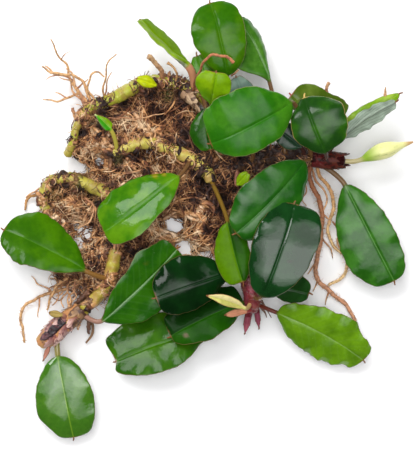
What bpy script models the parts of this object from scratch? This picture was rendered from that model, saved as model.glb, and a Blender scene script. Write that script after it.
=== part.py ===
"""Bare-root bucephalandra clump: creeping rhizomes on a felted root mat, with leathery leaves.

The clump lies as it was laid out on a pale table and looked at from straight above, so a
place on it is written as the pixel where it shows and its height over the table.
"""

import math

import bmesh
import bpy
from mathutils import Matrix, Vector, noise

# Scale. The longest blade sets the size of everything else.
METRES = 0.001
LONGEST_BLADE_MM = 35.0
LONGEST_BLADE_PX = 106.0
MM_PER_PX = LONGEST_BLADE_MM / LONGEST_BLADE_PX

# The view that the places are read in, and the pixel above the clump's own middle.
VIEW_HEIGHT_MM = 600.0
VIEW_MIDDLE_PX = (208.0, 227.0)
CLUMP_MIDDLE_PX = (207.2, 222.6)

# Clearance that a piece keeps to the stem or root that it grows from.
GAP_MM = 0.3

# Blades and stalks.
BLADE_HALF_THICKNESS_MM = 0.4
STALK_RADIUS_MM = 0.7
STALK_RINGS = 3
BLADE_STATIONS = (0.07, 0.19, 0.35, 0.53, 0.71, 0.87, 0.96)
BRACT_STATIONS = (0.2, 0.5, 0.8)
ACROSS = (-1.0, -0.5, 0.0, 0.5, 1.0)
TIP_HALF_WIDTH_MM = 0.35
SPUR_LENGTH_MM = 1.6
SPUR_RADIUS_MM = 0.2
STALK_TURN_MM = 3.5

# Tubes have 4 + 2 * resolution sides, and a shaded edge stays sharp over this many degrees.
STEM_RESOLUTION = 2
ROOT_RESOLUTION = 1
SHARP_DEGREES = 50

# Root mat: how far in from its outline each ring lies, and how high.
MAT_CENTRE_PX = (140.0, 190.0)
MAT_RINGS = ((0.985, 2.6), (0.93, 5.2), (0.78, 6.2), (0.55, 6.4), (0.28, 6.8))
MAT_LUMP_MM = 0.9
MAT_LUMP_SIZE_MM = 9.0
MAT_OUTLINE_PX = (
    (84, 112), (108, 102), (130, 90), (150, 83), (172, 83), (190, 89), (202, 100),
    (207, 121), (216, 149), (240, 156), (270, 152), (298, 152), (308, 162),
    (284, 170), (256, 179), (240, 190), (233, 206), (224, 225), (220, 246),
    (212, 258), (190, 262), (160, 264), (136, 275), (122, 289), (105, 300),
    (86, 301), (66, 291), (64, 270), (56, 240), (48, 213), (44, 196), (49, 181),
    (64, 176), (82, 176), (90, 169), (84, 164), (69, 153), (74, 138), (77, 122),
)

# Stems, as (x px, y px, height mm, radius mm) along their middle.
STEMS = {
    "rhizome_top": (
        (66, 152, 4.4, 1.6), (72, 141, 6.0, 1.6), (75, 127, 7.0, 1.6), (81, 114, 7.4, 1.8),
        (92, 106, 7.6, 1.9), (105, 102, 7.6, 1.9), (118, 96, 7.6, 2.1), (131, 89, 7.6, 2.1),
        (145, 83, 7.6, 2.1), (160, 81, 7.4, 2.0), (176, 83, 7.4, 2.1), (189, 88, 7.6, 2.1),
        (201, 96, 7.8, 2.0), (213, 106, 7.8, 1.8),
    ),
    "rhizome_middle": (
        (112, 155, 6.6, 1.6), (126, 148, 7.4, 1.9), (141, 143, 7.8, 2.0), (158, 145, 7.8, 1.9),
        (174, 151, 7.8, 2.0), (191, 159, 7.8, 2.1), (205, 170, 7.6, 2.1), (213, 183, 7.2, 1.8),
    ),
    "rhizome_left": (
        (46, 212, 4.0, 1.6), (43, 197, 4.6, 1.8), (51, 182, 6.0, 1.9), (68, 178, 7.2, 1.9),
        (86, 184, 7.6, 2.0), (104, 192, 7.6, 2.0), (121, 201, 7.0, 1.8),
    ),
    "rhizome_lower": (
        (118, 236, 6.6, 1.7), (116, 250, 7.2, 1.9), (113, 264, 7.4, 2.1), (110, 277, 7.2, 2.1),
        (103, 290, 6.8, 2.0), (93, 301, 6.4, 2.0), (80, 312, 6.0, 1.9),
    ),
    "rhizome_right": (
        (234, 168, 6.2, 1.8), (251, 163, 7.0, 2.0), (270, 159, 7.8, 2.1), (289, 157, 8.6, 2.1),
        (305, 158, 9.2, 2.0), (316, 159, 9.4, 1.8),
    ),
    "shoot_front": (
        (214, 231, 5.8, 1.7), (228, 246, 7.0, 1.9), (239, 261, 8.2, 2.1), (247, 276, 9.0, 2.5),
        (252, 291, 9.2, 2.9), (253, 303, 8.6, 2.5), (252, 313, 7.4, 1.5),
    ),
}

# Sheaths are sleeves over a stem's growing end, cut out round it.
SHEATHS = {
    "sheath_lower": ("rhizome_lower", (
        (84, 308, 6.2, 2.7), (74, 315, 6.0, 2.9), (64, 323, 5.8, 3.2), (54, 333, 5.4, 3.2),
        (45, 340, 4.8, 2.6), (38, 345, 4.2, 1.5),
    )),
    "sheath_right": ("rhizome_right", (
        (309, 158, 9.3, 2.6), (320, 159, 9.6, 2.8), (333, 160, 9.6, 2.6), (346, 161, 9.2, 1.9),
    )),
}

# Roots that stand free of the mat, as (x px, y px, height mm, radius mm), each with the
# stem that it is cut clear of. The mat is cut clear of all of them.
ROOTS = {
    "root_right_main": ("sheath_right", (
        (313, 160, 8.2, 0.9), (309.5, 172, 6.2, 0.8), (312, 186, 5.0, 0.8), (318, 199, 4.0, 0.8),
        (322, 216, 3.0, 0.8),
        (321, 237, 1.8, 0.8), (317, 257, 1.2, 0.75), (315, 269, 1.1, 0.75), (320, 282, 1.1, 0.75),
        (329, 291, 1.1, 0.7), (341, 301, 1.0, 0.65), (349, 310, 0.9, 0.6), (356, 321, 0.8, 0.5),
    )),
    "root_right_loop": ("sheath_right", (
        (315, 161, 8.2, 0.6), (319, 174, 6.4, 0.6), (326, 184, 5.4, 0.6), (333, 196, 4.6, 0.6),
        (334, 208, 3.8, 0.6), (330, 220, 3.0, 0.55), (328, 231, 2.4, 0.5), (332, 242, 1.8, 0.5),
        (340, 251, 1.4, 0.5), (347, 261, 1.1, 0.5), (345, 274, 0.9, 0.5), (336, 281, 0.8, 0.5),
        (328, 286, 0.8, 0.45),
    )),
    "root_top_left_long": ("rhizome_top", (
        (90, 108, 7.4, 0.8), (79, 92, 5.6, 0.75), (72, 84, 5.0, 0.65), (69, 75, 5.0, 0.55),
        (67, 65, 5.8, 0.5), (61, 58, 7.0, 0.4), (55, 49, 9.0, 0.35), (51, 40, 11.5, 0.25),
    )),
    "root_top_left_forked": ("rhizome_top", (
        (92, 104, 8.4, 0.5), (84, 85, 8.2, 0.45), (78, 79, 7.8, 0.45), (70, 75, 7.6, 0.4),
        (60, 73.5, 7.6, 0.45), (50, 71, 7.8, 0.4), (42, 67, 8.2, 0.25),
    )),
    "root_top_left_low": ("root_top_left_long", (
        (79, 93, 5.4, 0.4), (67, 98, 3.4, 0.35), (56, 101, 2.2, 0.3), (43, 99.5, 1.4, 0.2),
    )),
    "root_top_arch": ("rhizome_top", (
        (96, 103, 8.0, 0.4), (88, 89, 10.2, 0.35), (91, 76, 11.6, 0.35), (98, 72, 11.4, 0.3),
        (104, 77, 10.2, 0.25),
    )),
    "root_top_upright": ("rhizome_top", (
        (105, 99, 8.0, 0.4), (103, 88, 10.5, 0.35), (106, 78, 12.0, 0.3), (107, 65, 14.0, 0.25),
        (116, 54, 16.0, 0.2),
    )),
    "root_left": ("rhizome_left", (
        (46, 193, 5.0, 0.7), (36, 194.5, 2.6, 0.6), (28, 199, 1.4, 0.5), (24, 209, 0.7, 0.35),
    )),
    "root_lower_long": ("root_mat", (
        (68, 288, 3.2, 0.5), (52, 293, 2.6, 0.5), (41, 297, 2.2, 0.5), (29, 303, 1.8, 0.45),
        (20.5, 313, 1.3, 0.45), (21.5, 326, 0.9, 0.4), (25, 342, 0.6, 0.3),
    )),
    "root_lower_short": ("root_mat", (
        (68, 278, 4.2, 0.5), (57, 287, 4.5, 0.45), (51, 298, 3.8, 0.4), (47.5, 310, 2.0, 0.3),
    )),
    "root_lower_side": ("sheath_lower", (
        (82, 315, 5.0, 0.5), (94, 327, 3.2, 0.45), (90, 336, 2.0, 0.4), (86, 343, 1.0, 0.3),
    )),
    "root_stub_thick": ("rhizome_top", (
        (163, 82, 8.0, 1.0), (161, 71, 11.0, 1.0), (155, 62, 12.6, 0.95), (148, 57, 14.0, 0.8),
    )),
    "root_stub_thin": ("rhizome_top", (
        (177, 84, 8.4, 0.4), (177, 74, 12.0, 0.35), (172, 66, 13.2, 0.4), (167, 62.5, 13.4, 0.6),
    )),
    "root_over_leaf": ("rhizome_top", (
        (196, 92, 9.0, 0.5), (200, 78, 19.0, 0.5), (206, 61, 24.5, 0.5), (215, 54.5, 26.0, 0.5),
        (225, 57, 26.0, 0.5), (233, 62.5, 25.4, 0.65),
    )),
}

# The bud is a spindle on a stalk.
SPATHE_BUD = ("sheath_right", (
    (342, 161, 9.3, 0.8), (353, 161.5, 9.4, 0.8), (362, 159.5, 9.6, 0.9), (370, 156, 9.8, 1.9),
    (380, 152, 10.0, 2.7), (390, 149, 10.0, 2.5), (401, 145.5, 9.6, 1.2), (413, 142, 9.0, 0.3),
))

# Leaves. stem: what the stalk grows from, and where it meets it. base and tip: the ends of
# the blade's midrib. half_widths: left and right of the midrib, seen from base to tip, as
# they lie flat. widest: where along the midrib. fullness: 1 is a pointed end and 2 a round
# one, at base and tip. rise: how far the midrib arches up. bend: how far it bows to the
# right. roll: degrees that the upper face leans to the right. cup: degrees that the margins
# turn up, left and right.
LEAVES = {
    "leaf_top_folded": dict(
        stem="rhizome_top", start=(191, 89, 8.8), base=(187, 65, 13.5), tip=(140.5, 20, 14.0),
        half_widths=(4.4, 4.8), widest=0.5, fullness=(1.3, 1.7), rise=1.6, bend=-0.6, roll=50, cup=(14, 10)),
    "leaf_top_large": dict(
        stem="rhizome_top", start=(207, 100, 8.8), base=(227, 75, 17.0), tip=(210, 3.5, 14.5),
        half_widths=(9.0, 8.9), widest=0.56, fullness=(1.6, 2.2), rise=4.0, bend=0.5, roll=0, cup=(-8, -8)),
    "leaf_top_behind": dict(
        stem="rhizome_top", start=(195, 92, 8.8), base=(208, 84, 11.0), tip=(197, 56, 11.5),
        half_widths=(3.6, 5.2), widest=0.6, fullness=(1.6, 2.0), rise=0.6, bend=0.0, roll=0, cup=(-4, -4)),
    "leaf_lime_top": dict(
        stem="rhizome_top", start=(212, 105, 8.8), base=(229, 99, 19.0), tip=(200, 76, 27.0),
        half_widths=(5.4, 6.4), widest=0.5, fullness=(2.0, 2.0), rise=1.5, bend=0.0, roll=0, cup=(-10, -10)),
    "leaf_upper_large": dict(
        stem="sheath_right", start=(312, 158, 11.0), base=(291, 100, 21.0), tip=(208, 141, 21.0),
        half_widths=(9.2, 10.3), widest=0.54, fullness=(1.7, 2.9), rise=4.0, bend=0.8, roll=4, cup=(-7, -7)),
    "leaf_upper_below": dict(
        stem="rhizome_top", start=(201, 95, 8.8), base=(206, 109, 12.4), tip=(211, 150, 13.4),
        half_widths=(6.6, 6.2), widest=0.55, fullness=(1.7, 2.0), rise=0.8, bend=0.0, roll=0, cup=(-4, -4)),
    "leaf_grey_back": dict(
        stem="rhizome_right", start=(252, 163, 8.4), base=(256, 118, 13.6), tip=(236, 75, 15.4),
        half_widths=(5.2, 6.0), widest=0.5, fullness=(1.6, 1.6), rise=0.4, bend=0.0, roll=0, cup=(4, 4)),
    "leaf_top_right": dict(
        stem="rhizome_right", start=(286, 157, 10.0), base=(269, 80, 12.5), tip=(238, 19, 11.5),
        half_widths=(7.4, 5.0), widest=0.5, fullness=(1.5, 2.0), rise=1.6, bend=0.4, roll=24, cup=(6, -12)),
    "leaf_right_round": dict(
        stem="sheath_right", start=(323, 159, 11.0), base=(327, 151, 17.0), tip=(304, 98, 26.0),
        half_widths=(8.4, 9.8), widest=0.5, fullness=(2.4, 2.2), rise=3.0, bend=-0.4, roll=4, cup=(-6, -6)),
    "leaf_right_behind": dict(
        stem="sheath_right", start=(331, 159, 11.2), base=(340, 135, 13.4), tip=(293, 97, 16.0),
        half_widths=(4.2, 7.8), widest=0.5, fullness=(2.1, 2.5), rise=0.6, bend=0.0, roll=0, cup=(-5, -5)),
    "leaf_right_shaded": dict(
        stem="rhizome_right", start=(304, 158, 10.2), base=(301, 147, 12.2), tip=(276, 128, 13.0),
        half_widths=(3.8, 4.6), widest=0.55, fullness=(1.6, 1.9), rise=0.4, bend=0.0, roll=0, cup=(-4, -4)),
    "leaf_right_lime": dict(
        stem="sheath_right", start=(336, 160, 10.4), base=(344, 125, 8.4), tip=(399, 94, 9.8),
        half_widths=(2.9, 3.2), widest=0.44, fullness=(1.6, 1.4), rise=1.0, bend=0.6, roll=-16, cup=(6, 10)),
    "leaf_right_silver": dict(
        stem="sheath_right", start=(342, 161, 10.4), base=(343.5, 141, 11.2), tip=(395.5, 102, 12.6),
        half_widths=(3.8, 2.8), widest=0.5, fullness=(1.5, 1.8), rise=-0.8, bend=1.4, roll=205, cup=(-6, 6)),
    "leaf_right": dict(
        stem="sheath_right", start=(317, 162, 9.4), base=(345.5, 186, 9.2), tip=(394, 281, 2.8),
        half_widths=(8.1, 9.9), widest=0.52, fullness=(1.9, 2.4), rise=3.4, bend=0.0, roll=0, cup=(-8, -8)),
    "leaf_centre_right": dict(
        stem="sheath_right", start=(310, 160, 11.4), base=(304, 162, 14.6), tip=(236, 233, 17.0),
        half_widths=(9.2, 10.2), widest=0.5, fullness=(1.8, 2.2), rise=3.6, bend=0.5, roll=2, cup=(-8, -8)),
    "leaf_dark_glossy": dict(
        stem="shoot_front", start=(253, 296, 10.4), base=(262, 296, 14.0), tip=(294, 204, 21.0),
        half_widths=(8.9, 11.5), widest=0.5, fullness=(2.0, 2.1), rise=4.4, bend=0.0, roll=0, cup=(-6, -6)),
    "leaf_glossy_below": dict(
        stem="shoot_front", start=(254, 292, 9.2), base=(270, 283, 9.6), tip=(309, 293, 8.2),
        half_widths=(5.4, 4.8), widest=0.6, fullness=(1.7, 2.1), rise=0.6, bend=0.0, roll=0, cup=(-4, -4)),
    "leaf_lime_lower": dict(
        stem="rhizome_middle", start=(210, 178, 7.8), base=(228, 223, 12.0), tip=(236, 282, 14.4),
        half_widths=(5.8, 6.2), widest=0.5, fullness=(1.7, 1.9), rise=0.8, bend=0.3, roll=0, cup=(-10, -6)),
    "leaf_left_centre": dict(
        stem="rhizome_middle", start=(190, 161, 8.8), base=(178, 177, 13.4), tip=(104, 232, 12.4),
        half_widths=(9.1, 10.2), widest=0.6, fullness=(1.6, 3.0), rise=4.2, bend=0.4, roll=0, cup=(-6, -6)),
    "leaf_left": dict(
        stem="rhizome_lower", start=(108, 279, 8.0), base=(84, 270, 11.0), tip=(4, 230, 8.4),
        half_widths=(8.6, 10.4), widest=0.62, fullness=(1.25, 2.4), rise=2.4, bend=0.0, roll=0, cup=(-7, -7)),
    "leaf_lower_left": dict(
        stem="sheath_lower", start=(57, 331, 5.6), base=(58, 357, 5.6), tip=(73.5, 437, 1.6),
        half_widths=(9.2, 10.0), widest=0.57, fullness=(1.9, 2.1), rise=3.8, bend=0.0, roll=0, cup=(-7, -7)),
    "leaf_lower_centre": dict(
        stem="sheath_lower", start=(80, 312, 6.4), base=(103, 320, 8.6), tip=(177, 249, 8.8),
        half_widths=(8.7, 9.8), widest=0.54, fullness=(1.35, 2.4), rise=1.6, bend=0.0, roll=0, cup=(-5, -5)),
    "leaf_dark_centre": dict(
        stem="shoot_front", start=(243, 270, 9.4), base=(229, 273, 11.0), tip=(156, 298, 12.2),
        half_widths=(7.8, 9.6), widest=0.52, fullness=(2.0, 2.1), rise=1.6, bend=0.3, roll=0, cup=(-5, -5)),
    "leaf_front_below": dict(
        stem="shoot_front", start=(248, 298, 8.4), base=(238, 304, 7.2), tip=(163, 333, 6.6),
        half_widths=(7.6, 8.0), widest=0.52, fullness=(1.8, 2.3), rise=1.2, bend=-0.6, roll=0, cup=(-6, -4)),
    "leaf_bottom": dict(
        stem="shoot_front", start=(247, 306, 6.4), base=(207, 330, 3.8), tip=(109, 359, 2.4),
        half_widths=(9.2, 10.4), widest=0.56, fullness=(1.6, 2.5), rise=0.8, bend=0.0, roll=0, cup=(-4, -3)),
    "leaf_bottom_right": dict(
        stem="shoot_front", start=(254, 303, 8.4), base=(278, 313, 7.0), tip=(363, 360, 4.0),
        half_widths=(9.6, 7.4), widest=0.52, fullness=(1.7, 2.2), rise=2.6, bend=0.0, roll=0, cup=(-7, -7)),
}

# Small bracts, tips and unfolding leaves, in the same terms.
BRACTS = {
    "leaflet_centre": dict(
        stem="rhizome_right", start=(238, 167, 7.0), base=(238, 184, 9.2), tip=(248, 173, 11.0),
        half_widths=(2.0, 2.2), widest=0.5, fullness=(1.6, 1.6), rise=0.4, bend=0.0, roll=0, cup=(8, 8)),
    "leaflet_folded": dict(
        stem="rhizome_middle", start=(117, 152, 7.4), base=(110, 129, 13.0), tip=(96, 115.5, 14.0),
        half_widths=(2.6, 2.8), widest=0.4, fullness=(1.8, 1.2), rise=0.6, bend=0.0, roll=18, cup=(12, 12)),
    "bract_top": dict(
        stem="rhizome_top", start=(152, 82, 8.4), base=(155, 85, 11.0), tip=(137, 79, 12.6),
        half_widths=(1.9, 2.3), widest=0.5, fullness=(1.8, 1.6), rise=1.2, bend=0.0, roll=0, cup=(-14, -14)),
    "leaflet_front": dict(
        stem="shoot_front", start=(250, 300, 10.4), base=(243, 303, 14.0), tip=(208, 296, 17.0),
        half_widths=(2.0, 1.9), widest=0.5, fullness=(1.4, 1.1), rise=1.0, bend=0.0, roll=0, cup=(16, 16)),
    "bract_front": dict(
        stem="shoot_front", start=(251, 309, 8.6), base=(245, 311, 10.8), tip=(226, 315, 11.6),
        half_widths=(1.2, 1.2), widest=0.6, fullness=(1.8, 1.8), rise=0.8, bend=0.0, roll=0, cup=(-16, -16)),
    "bract_front_left": dict(
        stem="shoot_front", start=(251, 308, 7.6), base=(250, 318, 5.6), tip=(247, 332, 3.4),
        half_widths=(1.5, 1.5), widest=0.3, fullness=(1.8, 1.1), rise=0.6, bend=0.0, roll=0, cup=(-18, -18)),
    "bract_front_right": dict(
        stem="shoot_front", start=(255, 304, 7.2), base=(257, 313, 5.4), tip=(259, 328, 3.0),
        half_widths=(1.2, 1.2), widest=0.3, fullness=(1.8, 1.1), rise=0.6, bend=0.0, roll=0, cup=(-18, -18)),
    "bract_lower_top": dict(
        stem="sheath_lower", start=(66, 320, 7.0), base=(62, 315, 9.6), tip=(50, 313, 9.0),
        half_widths=(1.2, 1.2), widest=0.6, fullness=(1.9, 1.9), rise=0.4, bend=0.0, roll=0, cup=(-10, -10)),
    "bract_lower_tip": dict(
        stem="sheath_lower", start=(48, 337, 4.4), base=(49, 347, 3.2), tip=(43.5, 360, 1.4),
        half_widths=(1.3, 1.3), widest=0.3, fullness=(1.8, 1.1), rise=0.5, bend=0.0, roll=0, cup=(-14, -14)),
}

# Base colour and roughness of each finish, and the leaves that aren't mid-green.
FINISHES = {
    "leaf": ((0.09, 0.24, 0.03), 0.3),
    "dark_leaf": ((0.012, 0.06, 0.015), 0.2),
    "silver_leaf": ((0.30, 0.38, 0.31), 0.5),
    "young_leaf": ((0.32, 0.46, 0.06), 0.4),
    "rhizome": ((0.42, 0.40, 0.09), 0.5),
    "sheath": ((0.20, 0.06, 0.05), 0.6),
    "root": ((0.36, 0.19, 0.09), 0.8),
    "root_mat": ((0.22, 0.12, 0.07), 0.95),
}
LEAF_FINISH = {
    "leaf_dark_glossy": "dark_leaf",
    "leaf_glossy_below": "dark_leaf",
    "leaf_dark_centre": "dark_leaf",
    "leaf_front_below": "dark_leaf",
    "leaf_grey_back": "silver_leaf",
    "leaf_right_silver": "silver_leaf",
    "leaf_lime_top": "young_leaf",
    "leaf_lime_lower": "young_leaf",
    "leaf_right_lime": "young_leaf",
    "leaflet_centre": "young_leaf",
    "leaflet_folded": "young_leaf",
    "leaflet_front": "young_leaf",
    "bract_top": "young_leaf",
    "bract_front": "sheath",
    "bract_front_left": "sheath",
    "bract_front_right": "sheath",
    "bract_lower_top": "sheath",
    "bract_lower_tip": "sheath",
}


def at_photo(x_px, y_px, height):
    """The place in millimetres, in the part's frame, that shows at this pixel from this height."""
    spread = MM_PER_PX * (1 - height / VIEW_HEIGHT_MM)
    x = (x_px - VIEW_MIDDLE_PX[0]) * spread + (VIEW_MIDDLE_PX[0] - CLUMP_MIDDLE_PX[0]) * MM_PER_PX
    y = (y_px - VIEW_MIDDLE_PX[1]) * spread + (VIEW_MIDDLE_PX[1] - CLUMP_MIDDLE_PX[1]) * MM_PER_PX
    return Vector((x, -y, height))


def clear_scene():
    for obj in list(bpy.data.objects):
        bpy.data.objects.remove(obj, do_unlink=True)


def new_collection(name, shown):
    made = bpy.data.collections.new(name)
    bpy.context.scene.collection.children.link(made)
    made.hide_render = not shown
    return made


def finish_material(name, finish):
    colour, roughness = FINISHES[finish]
    made = bpy.data.materials.new(name)
    made.use_nodes = True
    shader = made.node_tree.nodes["Principled BSDF"]
    shader.inputs["Base Color"].default_value = (*colour, 1.0)
    shader.inputs["Roughness"].default_value = roughness
    return made


def add_object(name, mesh, collection, finish):
    """A sub-part with its own material, or a cutter where the finish is None."""
    obj = bpy.data.objects.new(name, mesh)
    collection.objects.link(obj)
    if finish is None:
        obj.hide_render = True
        obj.display_type = "WIRE"
        return obj
    mesh.materials.append(finish_material(name, finish))
    mesh.shade_smooth()
    mesh.set_sharp_from_angle(angle=math.radians(SHARP_DEGREES))
    return obj


def tube(name, stations, resolution, grow, collection, finish):
    """A round tube through the stations, its radii made larger by grow, as a welded mesh."""
    curve = bpy.data.curves.new(name, "CURVE")
    curve.dimensions = "3D"
    curve.bevel_depth = METRES
    curve.bevel_resolution = resolution
    curve.use_fill_caps = True
    spline = curve.splines.new("POLY")
    spline.points.add(len(stations) - 1)
    for point, (x_px, y_px, height, radius) in zip(spline.points, stations):
        point.co = (*(at_photo(x_px, y_px, height) * METRES), 1.0)
        point.radius = radius + grow
    guide = bpy.data.objects.new(name + "_guide", curve)
    bpy.context.scene.collection.objects.link(guide)
    bpy.context.view_layer.update()
    evaluated = guide.evaluated_get(bpy.context.evaluated_depsgraph_get())
    mesh = bpy.data.meshes.new_from_object(evaluated)
    bpy.data.objects.remove(guide, do_unlink=True)
    bpy.data.curves.remove(curve)
    edit = bmesh.new()
    edit.from_mesh(mesh)
    bmesh.ops.remove_doubles(edit, verts=edit.verts, dist=0.00001)
    bmesh.ops.recalc_face_normals(edit, faces=edit.faces)
    edit.to_mesh(mesh)
    edit.free()
    mesh.name = name
    return add_object(name, mesh, collection, finish)


def cut_out(obj, cutter):
    cut = obj.modifiers.new("clear_of_" + cutter.name, "BOOLEAN")
    cut.operation = "DIFFERENCE"
    cut.solver = "EXACT"
    cut.object = cutter


def blade_width(t, widest, fullness):
    """Share of the full half width at t along the midrib."""
    if t < widest:
        away, end = (widest - t) / widest, fullness[0]
    else:
        away, end = (t - widest) / (1 - widest), fullness[1]
    return max(0.0, 1 - away * away) ** (1 / end)


def cubic(start, start_pull, end_pull, end, t):
    """A point of the cubic curve between two ends and their two pulls."""
    return (start * (1 - t) ** 3 + start_pull * 3 * t * (1 - t) ** 2
            + end_pull * 3 * t * t * (1 - t) + end * t ** 3)


def section(centre, along, side, half_left, half_right, half_thickness, cup):
    """One closed ring of a leaf: a lens, or a circle on the stalk, its two sides curled."""
    side = (side - along * side.dot(along)).normalized()
    up = side.cross(along)

    def on_ring(v, face):
        half = half_right if v > 0 else half_left
        curl = math.radians(cup[1] if v > 0 else cup[0])
        turn = abs(v) * curl
        out = half * (math.sin(turn) / curl if abs(curl) > 1e-4 else abs(v))
        lift = half * ((1 - math.cos(turn)) / curl if abs(curl) > 1e-4 else 0.0)
        thick = face * half_thickness * math.sqrt(max(0.0, 1 - v * v))
        return centre + side * math.copysign(out, v) + up * (lift + thick)

    top = [on_ring(v, 1) for v in ACROSS]
    bottom = [on_ring(v, -1) for v in reversed(ACROSS[1:-1])]
    return top + bottom


def leaf_rings(leaf, stations):
    """The rings of a leaf, from the foot of its stalk to its tip's spur, in millimetres."""
    start, base, tip = (at_photo(*leaf[end]) for end in ("start", "base", "tip"))
    axis = (tip - base).normalized()
    side = axis.cross(Vector((0, 0, 1))).normalized()
    side = Matrix.Rotation(math.radians(leaf["roll"]), 3, axis) @ side
    over = side.cross(axis)
    arch = over * leaf["rise"] + side * leaf["bend"]

    def midrib(t):
        return base.lerp(tip, t) + arch * 4 * t * (1 - t)

    def heading(t):
        return (tip - base + arch * 4 * (1 - 2 * t)).normalized()

    rings = []
    turn = min(STALK_TURN_MM, (base - start).length / 3)
    end_pull = base - heading(0) * turn
    start_pull = start.lerp(end_pull, 0.4)
    for step in range(STALK_RINGS):
        t = step / STALK_RINGS
        here = cubic(start, start_pull, end_pull, base, t)
        onward = (cubic(start, start_pull, end_pull, base, t + 0.02) - here).normalized()
        rings.append(section(here, onward, side, STALK_RADIUS_MM, STALK_RADIUS_MM,
                             STALK_RADIUS_MM, (0, 0)))
    for t in (0.0, *stations, 1.0):
        share = blade_width(t, leaf["widest"], leaf["fullness"])
        least = STALK_RADIUS_MM if t < 0.5 else TIP_HALF_WIDTH_MM
        left, right = (max(least, half * share) for half in leaf["half_widths"])
        thin = min(1.0, t / 0.3)
        thickness = STALK_RADIUS_MM + (BLADE_HALF_THICKNESS_MM - STALK_RADIUS_MM) * thin
        if t == 1.0:
            thickness = TIP_HALF_WIDTH_MM
        rings.append(section(midrib(t), heading(t), side, left, right, thickness, leaf["cup"]))
    spur = tip + heading(1) * SPUR_LENGTH_MM
    rings.append(section(spur, heading(1), side, SPUR_RADIUS_MM, SPUR_RADIUS_MM, SPUR_RADIUS_MM, (0, 0)))
    return rings


def loft(name, rings, collection, finish):
    """A closed body through rings of equal count, with flat ends."""
    edit = bmesh.new()
    rows = [[edit.verts.new(point * METRES) for point in ring] for ring in rings]
    count = len(rows[0])
    for first, second in zip(rows, rows[1:]):
        for i in range(count):
            j = (i + 1) % count
            edit.faces.new((first[i], first[j], second[j], second[i]))
    edit.faces.new(rows[0])
    edit.faces.new(reversed(rows[-1]))
    bmesh.ops.recalc_face_normals(edit, faces=edit.faces)
    mesh = bpy.data.meshes.new(name)
    edit.to_mesh(mesh)
    edit.free()
    return add_object(name, mesh, collection, finish)


def root_mat(collection):
    """The felt of roots: a low mound with a flat underside, made of rings that step inwards."""
    centre = at_photo(*MAT_CENTRE_PX, 0)
    outline = [at_photo(x, y, 0) for x, y in MAT_OUTLINE_PX]
    edit = bmesh.new()
    rows = [[edit.verts.new(point * METRES) for point in outline]]
    for share, height in MAT_RINGS:
        row = []
        for point in outline:
            place = centre.lerp(point, share)
            lump = noise.noise(place / MAT_LUMP_SIZE_MM) * MAT_LUMP_MM
            place.z = height + (lump if height > MAT_RINGS[0][1] else 0.0)
            row.append(edit.verts.new(place * METRES))
        rows.append(row)
    top = edit.verts.new((centre + Vector((0, 0, MAT_RINGS[-1][1]))) * METRES)
    count = len(outline)
    for i in range(count):
        j = (i + 1) % count
        for lower, upper in zip(rows, rows[1:]):
            edit.faces.new((lower[i], lower[j], upper[j], upper[i]))
        edit.faces.new((rows[-1][i], rows[-1][j], top))
    edit.faces.new(rows[0])
    bmesh.ops.recalc_face_normals(edit, faces=edit.faces)
    mesh = bpy.data.meshes.new("root_mat")
    edit.to_mesh(mesh)
    edit.free()
    return add_object("root_mat", mesh, collection, "root_mat")


def main():
    clear_scene()
    plant = new_collection("bucephalandra_clump", shown=True)
    cutters = new_collection("cutters", shown=False)
    cutter_of = {}

    def add_tube(name, stations, resolution, finish, grows_from=None):
        made = tube(name, stations, resolution, 0.0, plant, finish)
        cutter_of[name] = tube("cut_" + name, stations, resolution, GAP_MM, cutters, None)
        if grows_from in cutter_of:
            cut_out(made, cutter_of[grows_from])

    for name, stations in STEMS.items():
        add_tube(name, stations, STEM_RESOLUTION, "sheath" if name == "shoot_front" else "rhizome")
    for name, (grows_from, stations) in SHEATHS.items():
        add_tube(name, stations, STEM_RESOLUTION, "sheath", grows_from)
    for name, (grows_from, stations) in ROOTS.items():
        add_tube(name, stations, ROOT_RESOLUTION, "root", grows_from)
    bud_stem, bud_stations = SPATHE_BUD
    add_tube("spathe_bud", bud_stations, STEM_RESOLUTION, "young_leaf", bud_stem)

    for leaves, stations in ((LEAVES, BLADE_STATIONS), (BRACTS, BRACT_STATIONS)):
        for name, leaf in leaves.items():
            made = loft(name, leaf_rings(leaf, stations), plant, LEAF_FINISH.get(name, "leaf"))
            cut_out(made, cutter_of[leaf["stem"]])

    mat = root_mat(plant)
    for name in (*STEMS, *SHEATHS, *ROOTS):
        cut_out(mat, cutter_of[name])


main()
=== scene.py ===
# %% [markdown]
# # A bare-root bucephalandra clump
#
# Bucephalandra is a small creeping water plant. This clump has been lifted off whatever it grew
# on and laid on a white table. Thick ringed stems creep over a felt of fine brown roots, and
# leathery wet leaves stand off the stems on short stalks.
#
# The clump is already packed as a solid part. This lesson loads that part as a fixed frame and
# gives each leaf, stem and root its real form and finish around it. Nothing in the frame moves,
# so the dressed plant lies on the table exactly as the solid one does.

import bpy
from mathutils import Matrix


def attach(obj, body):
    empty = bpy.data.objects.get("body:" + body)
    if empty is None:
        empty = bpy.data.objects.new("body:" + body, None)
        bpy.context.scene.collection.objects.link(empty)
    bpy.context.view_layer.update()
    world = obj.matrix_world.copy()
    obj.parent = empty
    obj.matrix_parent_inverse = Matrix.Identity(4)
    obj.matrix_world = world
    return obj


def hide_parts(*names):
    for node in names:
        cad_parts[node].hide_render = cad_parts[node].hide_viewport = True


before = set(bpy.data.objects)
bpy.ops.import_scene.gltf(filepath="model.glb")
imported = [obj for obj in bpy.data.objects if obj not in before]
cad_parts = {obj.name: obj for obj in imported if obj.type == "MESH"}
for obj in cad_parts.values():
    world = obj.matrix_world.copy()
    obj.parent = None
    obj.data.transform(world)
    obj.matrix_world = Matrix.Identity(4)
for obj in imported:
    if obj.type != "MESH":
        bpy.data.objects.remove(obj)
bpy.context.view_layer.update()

# %% The rest of the toolbox
import math

import bpy
import numpy as np

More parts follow.
